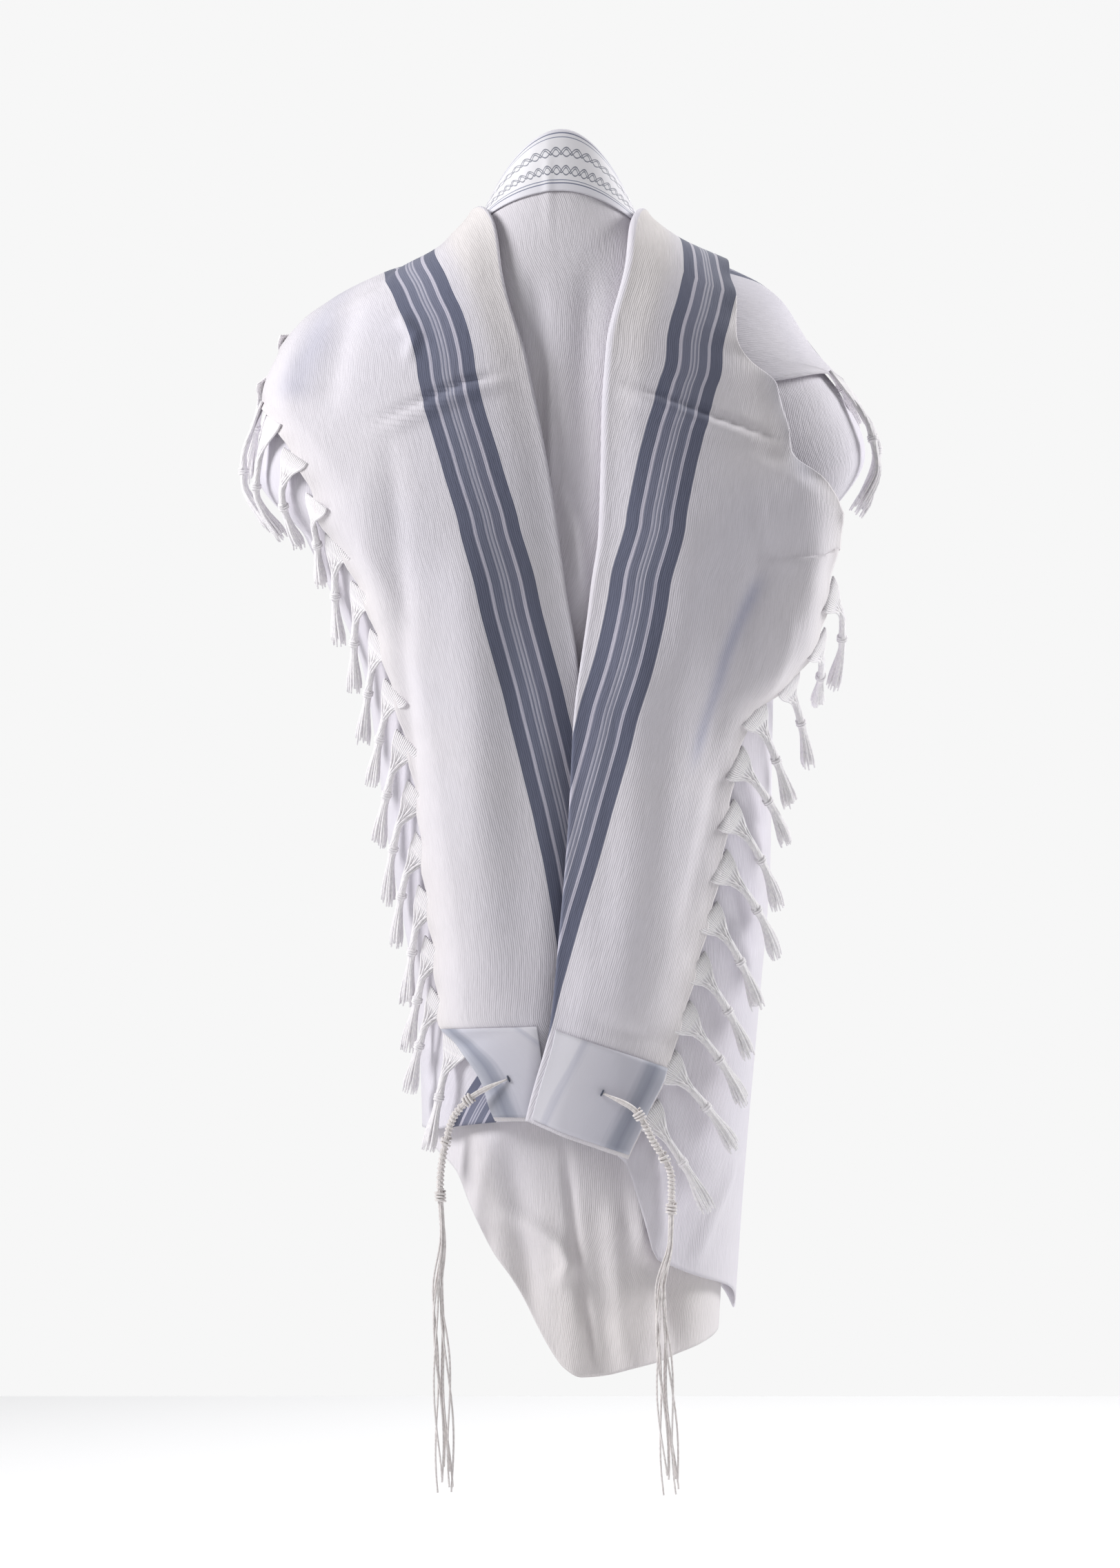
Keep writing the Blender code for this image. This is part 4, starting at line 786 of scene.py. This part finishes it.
# ---- stretch tucked under the right flap, over the upper arm ----
armCut = {"inner": 0.36, "outer": 0.97, "endInner": 0.412, "endOuter": 0.382, "rows": 70, "columns": 56,
          "stripeUp": 0.150, "covered": 21}  # columns that the flap lies over
armShares = np.linspace(armCut["inner"], armCut["outer"], armCut["columns"] + 1)
armColumns, armNormals = [], []
armEnds = np.interp(armShares, [armCut["inner"], armCut["outer"]], [armCut["endInner"], armCut["endOuter"]])
for share, last in zip(armShares, armEnds):
    shares = smoothCurve(*cloth["spread"], np.linspace(0.0, 1.0, 301))
    shares = np.append(shares[shares < last - 0.002], last)
    shares = np.interp(np.linspace(0, 1, armCut["rows"] + 1), np.linspace(0, 1, len(shares)), shares)
    turn, reach = [values[:, 0] for values in betweenFolds("right", shares, np.array([share]))]
    base, normal = form(turn, reach), outward(turn, reach)
    lift = middleLift("right")(turn, reach) + cloth["layerStep"]
    armColumns.append(base + normal * (lift + creased(base, "arm") * (base[:, 1] < 0.03))[:, None])
    armNormals.append(normal)
armGrid, armNormal = np.stack(armColumns, 1), np.stack(armNormals, 1)
armUp = runAcross(armGrid[::-1].swapaxes(0, 1)).T[::-1]
armPlaces = np.stack([armUp - armCut["stripeUp"], runAcross(armGrid)], -1)
# painted shade along the arm's listed path
armPiece = clothPiece("rightArmFold", armGrid, armPlaces, wool, cloth["wall"],
                      shades={"under": shadeAlong(armGrid, underPaths["arm"])})
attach(armPiece, "root")
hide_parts("right_arm_fold")
print("tucked stretch is laid over the arm")

# ---- satin neckband and corner patches, on the cloth's own points ----
satin = {"wall": 0.0009, "lift": 0.0022, "patch": 0.110, "bandTop": 0.0012, "bandFoot": 0.054, "bandArc": 0.30,
         "bandSide": 0.36, "bandRows": 40, "bandColumns": 120}
acrossBand = np.linspace(-satin["bandSide"], satin["bandSide"], satin["bandColumns"] + 1)
bandFoot = satin["bandFoot"] * (1 - satin["bandArc"] * (acrossBand / satin["bandSide"]) ** 2)
rowsBand = np.array([satin["bandTop"] + (bandFoot - satin["bandTop"]) * share
                     for share in np.linspace(0.0, 1.0, satin["bandRows"] + 1)])
fineShares = np.linspace(0.0, 0.08, 60)
bandBase, bandNormal, bandPush = backPanel(acrossBand, fineShares)
bandPush = bandPush + creased(bandBase, "back") * (bandBase[..., 1] < 0)
bandGrid = np.zeros((satin["bandRows"] + 1, len(acrossBand), 3))
for i in range(len(acrossBand)):
    lifted = bandBase[:, i] + bandNormal[:, i] * (bandPush[:, i] + satin["lift"])[:, None]
    for k in range(3):
        bandGrid[:, i, k] = np.interp(rowsBand[:, i], fineShares, lifted[:, k])
bandUp = np.linspace(satinLook["bandHeight"], 0.0, satin["bandRows"] + 1)
bandCut = np.stack(np.meshgrid(runAlong(bandGrid[satin["bandRows"] // 2]), bandUp), -1)
bandPiece = clothPiece("neckBand", bandGrid, bandCut, bandSatin, satin["wall"])
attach(bandPiece, "root")
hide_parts("neckband")


def cornerPatch(name, node, top, normal, atHem, startShare, flip):
    # a piece of the cloth's own grid, moved out: the rows near one end of the fringed edge, from a share of the width
    rows = np.arange(len(top))
    alongEdge = runAlong(top[:, len(top[0]) // 2])
    inside = alongEdge[-1] - alongEdge < satin["patch"] if atHem else alongEdge < satin["patch"]
    rows = rows[inside][1:-1]
    first = int(startShare * (top.shape[1] - 1))
    grid = (top + normal * satin["lift"])[rows, first:-1]
    across = runAcross(grid[:, ::-1])[:, ::-1]
    up = np.abs(alongEdge[rows] - alongEdge[-1 if atHem else 0])
    piece = clothPiece(name, grid, np.stack([across, np.repeat(up[:, None], grid.shape[1], 1)], -1), patchSatin,
                       satin["wall"], flip)
    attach(piece, "root")
    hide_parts(node)


left, right = flaps["left"], flaps["right"]
cornerPatch("backLeftPatch", "corner_patch_back_left", left["top"], left["normal"], True,
            0.22, True)
cornerPatch("backRightPatch", "corner_patch_back_right", right["top"], right["normal"], True,
            0.04, False)
cornerPatch("frontLeftPatch", "corner_patch_front_left", left["top"], left["normal"], False,
            0.06, True)
cornerPatch("frontRightPatch", "corner_patch_front_right", armGrid, armNormal, False, 0.06, False)
print("satin is sewn on")


# ---- yarn: tubes joined into one mesh for each piece ----
class Yarn:
    def __init__(self):
        self.points, self.faces, self.cuts = [], [], []

    def tube(self, path, radii, sides):
        path, radii = np.asarray(path, float), np.broadcast_to(radii, len(path))
        ahead = unit(np.gradient(path, axis=0))
        over = np.cross(ahead[0], (0.3, 0.9, 0.2))
        first = len(self.points)
        run = runAlong(path)
        for k in range(len(path)):
            over = unit(over - ahead[k] * (over @ ahead[k]))
            side = np.cross(ahead[k], over)
            for n in range(sides):
                a = 2 * math.pi * n / sides
                self.points.append(path[k] + (over * math.cos(a) + side * math.sin(a)) * radii[k])
                self.cuts.append((n / sides, run[k]))
        for k in range(len(path) - 1):
            for n in range(sides):
                a, b = first + k * sides + n, first + k * sides + (n + 1) % sides
                self.faces.append((a, b, b + sides, a + sides))
        self.faces.append(tuple(first + n for n in range(sides))[::-1])
        self.faces.append(tuple(first + (len(path) - 1) * sides + n for n in range(sides)))

    def piece(self, name, material, slot, nodes):
        mesh = bpy.data.meshes.new(name)
        mesh.from_pydata([tuple(p) for p in self.points], [], self.faces)
        corners = np.zeros(len(mesh.loops), np.int32)
        mesh.loops.foreach_get("vertex_index", corners)
        mesh.uv_layers.new(name="cut").data.foreach_set("uv", np.array(self.cuts)[corners].reshape(-1))
        mesh.shade_smooth()
        mesh.materials.append(material)
        made = bpy.data.objects.new(name, mesh)
        bpy.context.scene.collection.objects.link(made)
        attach(made, "root")
        if nodes:
            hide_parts(*nodes)
        return made


def throughPoints(points, count):
    points = np.asarray(points, float)
    run = runAlong(points)
    at = np.linspace(0.0, run[-1], count)
    return np.stack([smoothCurve(run, points[:, k], at) for k in range(3)], -1)


chance = np.random.default_rng(7)
fringe = {"length": 0.112, "yarns": 16, "yarn": 0.0014, "fan": 0.021, "neck": 0.0030, "knot": 0.0042, "tip": 0.0090,
          "rise": 0.012, "root": 0.004, "clear": 0.021, "steps": (0.12, 0.30, 0.50, 0.60, 0.80, 1.00), "points": 22,
          "twist": 9.0, "step": 0.618, "knotAt": 0.52, "knotPoint": 11, "wraps": 2.6, "wrapHigh": 0.0062,
          "wrapRadius": 0.0046, "wrapYarn": 0.0014}


def stepOnForm(turn, reach, heading):
    # the turn and reach that a short step in space leads to
    d = 0.002
    system = np.stack([(form(turn + d, reach) - form(turn - d, reach)) / (2 * d),
                       (form(turn, reach + d) - form(turn, reach - d)) / (2 * d)], -1)
    change = np.linalg.lstsq(system, heading, rcond=None)[0]
    return turn + change[0], reach + change[1]


def placeOnForm(point):
    # the nearest turn and reach to a point in space, on finer and finer grids
    turns, reaches = np.meshgrid(np.linspace(-3.0, 3.0, 121), np.linspace(0.0, 1.32, 133), indexing="ij")
    spanTurn, spanReach = 0.05, 0.01
    for _ in range(6):
        near = np.argmin(((form(turns, reaches) - point) ** 2).sum(-1))
        turn, reach = turns.flat[near], reaches.flat[near]
        turns, reaches = np.meshgrid(np.linspace(turn - spanTurn, turn + spanTurn, 9),
                                     np.linspace(max(reach - spanReach, 0.0), reach + spanReach, 9), indexing="ij")
        spanTurn, spanReach = spanTurn / 3, spanReach / 3
    return turn, reach


def addLock(yarn, root, out, along, swing):
    turn, reach = placeOnForm(root)
    lift = float((root - form(turn, reach)) @ outward(turn, reach))
    points, done = [root - out * fringe["root"]], 0.0
    lean = swing * (1 + 0.25 * chance.uniform(-1, 1))
    length = fringe["length"] * (1 + 0.08 * chance.uniform(-1, 1))
    for share in fringe["steps"]:
        heading = unit(out * lean * (1 - 0.5 * share) + np.array([0.0, 0.0, -1.0]))
        turn, reach = stepOnForm(turn, reach, heading * (share - done) * length)
        stand = max(lift, fringe["clear"] * min(share * 4, 1)) + fringe["rise"] * share
        points.append(form(turn, reach) + outward(turn, reach) * stand)
        done = share
    spine = throughPoints(points, fringe["points"])
    t = np.linspace(0.0, 1.0, len(spine))
    ahead = unit(np.gradient(spine, axis=0))
    wide = unit(along - ahead * (ahead @ along)[:, None])
    over = unit(np.cross(ahead, wide))
    knotSwell = (fringe["knot"] - fringe["neck"]) * np.exp(-(((t - fringe["knotAt"]) / 0.05) ** 2))
    thickness = np.interp(t, [0.0, 0.2, 0.5, 0.9, 1.0], np.array([1.0, 1.0, 0.9, 1.15, 0.5]) * fringe["yarn"])
    for k in range(fringe["yarns"]):
        place = (k + 0.5) / fringe["yarns"] * 2 - 1
        fan = place * fringe["fan"] * (1 - ease(0.0, 0.34, t))
        loose = (fringe["tip"] - fringe["neck"]) * ease(0.58, 0.95, t) * (0.45 + 0.55 * chance.random())
        radius = fringe["neck"] * ease(0.12, 0.34, t) + knotSwell + loose
        angle = 2 * math.pi * k * fringe["step"] + fringe["twist"] * np.minimum(t, 0.55)  # straight below the knot
        path = spine + wide * (fan + radius * np.cos(angle))[:, None] + over * (radius * np.sin(angle) * 0.75)[:, None]
        keep = len(spine) - int(chance.integers(0, 2))
        yarn.tube(path[:keep], thickness[:keep], 5)
    k = fringe["knotPoint"]
    turns = np.linspace(0.0, fringe["wraps"] * 2 * math.pi, 34)
    wraps = [spine[k] + ahead[k] * (s - 0.5) * fringe["wrapHigh"]
             + (wide[k] * math.cos(a) + over[k] * math.sin(a)) * fringe["wrapRadius"]
             for a, s in zip(turns, np.linspace(0, 1, len(turns)))]
    yarn.tube(wraps, fringe["wrapYarn"], 6)


def fringePiece(name, node, edge, out, swing, lowest=-2.0):
    run = runAlong(edge)
    count = int(run[-1] / pitch)
    first = (run[-1] - (count - 1) * pitch) / 2
    yarn = Yarn()
    along = unit(np.gradient(edge, axis=0))
    for k in range(count):
        at = first + k * pitch
        if np.interp(at, run, edge[:, 2]) >= lowest:
            addLock(yarn, pointAt(at, run, edge), unit(pointAt(at, run, out)), unit(pointAt(at, run, along)), swing)
    return yarn.piece(name, fringeYarn, "wool_fringe", [node])


# share of the length where the locks start, how far they swing out, and the height below which there are none
hangs = {"left": {"start": -1.0, "swing": 0.45, "lowest": -0.885},
         "right": {"start": 0.53, "swing": 1.25, "lowest": -2.0}}
for side, hang in hangs.items():
    flap = flaps[side]
    rows = down > hang["start"]
    edge = flap["top"][rows, -1]
    out = edgeOut(edge, flap["top"][rows, -2], flap["normal"][rows, -1])
    fringePiece(side + "Fringe", "fringe_" + side, edge, out, hang["swing"], hang["lowest"])
covered = armCut["covered"]
border = np.concatenate([armGrid[:-1, -1], armGrid[-1, :covered:-1]])
inside = np.concatenate([armGrid[:-1, -2], armGrid[-2, :covered:-1]])
borderNormal = np.concatenate([armNormal[:-1, -1], armNormal[-1, :covered:-1]])
fringePiece("rightArmFringe", "fringe_right_arm", border, edgeOut(border, inside, borderNormal), 0.55)
print("fringe is knotted")

# ---- corner cords, from the eyelet down: x, z, face, lift off the form ----
cords = {
    "backLeft": ((-0.050, -0.906, "back", 0.0215), (-0.064, -0.914, "back", 0.0270), (-0.077, -0.926, "back", 0.0360),
                 (-0.090, -0.953, "back", 0.0400), (-0.097, -1.020, "back", 0.0420), (-0.095, -1.075, "back", 0.0420),
                 (-0.098, -1.128, "back", 0.0420), (-0.095, -1.201, "back", 0.0420),
                 (-0.091, -1.330, "back", 0.0420)),
    "backRight": ((0.038, -0.920, "back", 0.0430), (0.066, -0.938, "back", 0.0480), (0.080, -0.968, "back", 0.0490),
                  (0.095, -1.010, "back", 0.0490), (0.093, -1.075, "back", 0.0480), (0.085, -1.128, "back", 0.0460),
                  (0.085, -1.201, "back", 0.0460), (0.091, -1.330, "back", 0.0460)),
    "frontLeft": ((-0.150, -0.262, "front", 0.0360), (-0.160, -0.300, "front", 0.0390),
                  (-0.160, -0.340, "front", 0.0400), (-0.156, -0.400, "front", 0.0400),
                  (-0.153, -0.450, "front", 0.0400), (-0.148, -0.520, "front", 0.0400),
                  (-0.140, -0.610, "front", 0.0420), (-0.130, -0.720, "front", 0.0420)),
    "frontRight": ((0.152, -0.262, "front", 0.0360), (0.163, -0.300, "front", 0.0390),
                   (0.167, -0.340, "front", 0.0400), (0.168, -0.400, "front", 0.0400),
                   (0.166, -0.450, "front", 0.0400), (0.162, -0.520, "front", 0.0400),
                   (0.155, -0.610, "front", 0.0420), (0.150, -0.720, "front", 0.0420)),
}
cordNodes = {"backLeft": "tassel_back_left", "backRight": "tassel_back_right",
             "frontLeft": "tassel_front_left", "frontRight": "tassel_front_right"}
cordMake = {"strands": 8, "strand": 0.0011, "core": 0.0019, "wind": 0.00138, "headEnd": 0.36, "spread": 0.006,
            "stray": 0.0030, "points": 90, "eye": 0.0030, "eyeThread": 0.0010, "eyeDepth": 0.002}
# knots and windings down the head: from, to, turns, radius
windings = ((0.090, 0.112, 3, 0.0050), (0.120, 0.200, 8, 0.0031), (0.205, 0.222, 2, 0.0048), (0.230, 0.320, 9, 0.0031),
            (0.325, 0.348, 3, 0.0050))
for name, stations in cords.items():
    points = []
    for x, z, face, lift in stations:
        turn, reach = locate(x, z, face)
        points.append(form(turn, reach) + outward(turn, reach) * lift)
    spine = throughPoints(points, cordMake["points"])
    t = np.linspace(0.0, 1.0, len(spine))
    ahead = unit(np.gradient(spine, axis=0))
    wide = unit(np.cross(ahead, (0.0, 1.0, 0.0)))
    over = unit(np.cross(wide, ahead))
    yarn = Yarn()
    headEnd = cordMake["headEnd"]
    for k in range(cordMake["strands"]):
        phase = 2 * math.pi * k / cordMake["strands"]
        lean = 0.35 * math.sin(1.7 * k) + 0.12 * np.sin(9 * t + phase)
        gather = cordMake["core"] * ease(0.0, 0.06, t)
        loose = cordMake["spread"] * ease(headEnd, 0.75, t)
        stray = cordMake["stray"] * np.sin(14 * t + 2.1 * k) * ease(headEnd, 0.6, t)
        path = spine + wide * (gather * math.cos(phase) + loose * np.sin(phase + lean) + stray)[:, None]
        path += over * (gather * math.sin(phase) + 0.5 * loose * np.cos(phase * 2 + lean) + 0.5 * stray)[:, None]
        keep = len(spine) - int(chance.integers(0, 6))
        yarn.tube(path[:keep], cordMake["strand"], 5)
    for low, high, turns, radius in windings:
        at = np.linspace(low, high, turns * 11)
        a = np.linspace(0, 2 * math.pi * turns, len(at))[:, None]
        circle = pointAt(at, t, wide) * np.cos(a) + pointAt(at, t, over) * np.sin(a)
        yarn.tube(pointAt(at, t, spine) + circle * radius, cordMake["wind"], 5)
    yarn.piece(name + "Cord", cordYarn, "wool_cord", [cordNodes[name]])
    # eyelet ring, its dark colour painted shade for the hole
    eye = Yarn()
    hole = points[0] - outward(*locate(*stations[0][:3])) * cordMake["eyeDepth"]
    eyeTurns = np.linspace(0, 2 * math.pi, 21)
    eye.tube([hole + (wide[0] * math.cos(a) + over[0] * math.sin(a)) * cordMake["eye"] for a in eyeTurns],
             cordMake["eyeThread"], 6)
    eye.piece(name + "Eyelet", eyeletThreadHoleShade, "wool_cord", [])
print("corner cords are wound")

# ---- floor ----
bpy.ops.mesh.primitive_plane_add(size=1.0, location=(0, 0, studio["floorZ"]))
floor = bpy.context.active_object
floor.name = "floor"
floor.scale = (*studio["floorSize"], 1.0)
bpy.ops.object.transform_apply(location=True, rotation=True, scale=True)
paper = bpy.data.materials.new("palePaper")
paper.use_nodes = True
paper.node_tree.nodes["Principled BSDF"].inputs["Base Color"].default_value = fromHex("#FAFAFB")
paper.node_tree.nodes["Principled BSDF"].inputs["Roughness"].default_value = 0.9
floor.data.materials.append(paper)

bpy.context.view_layer.update()
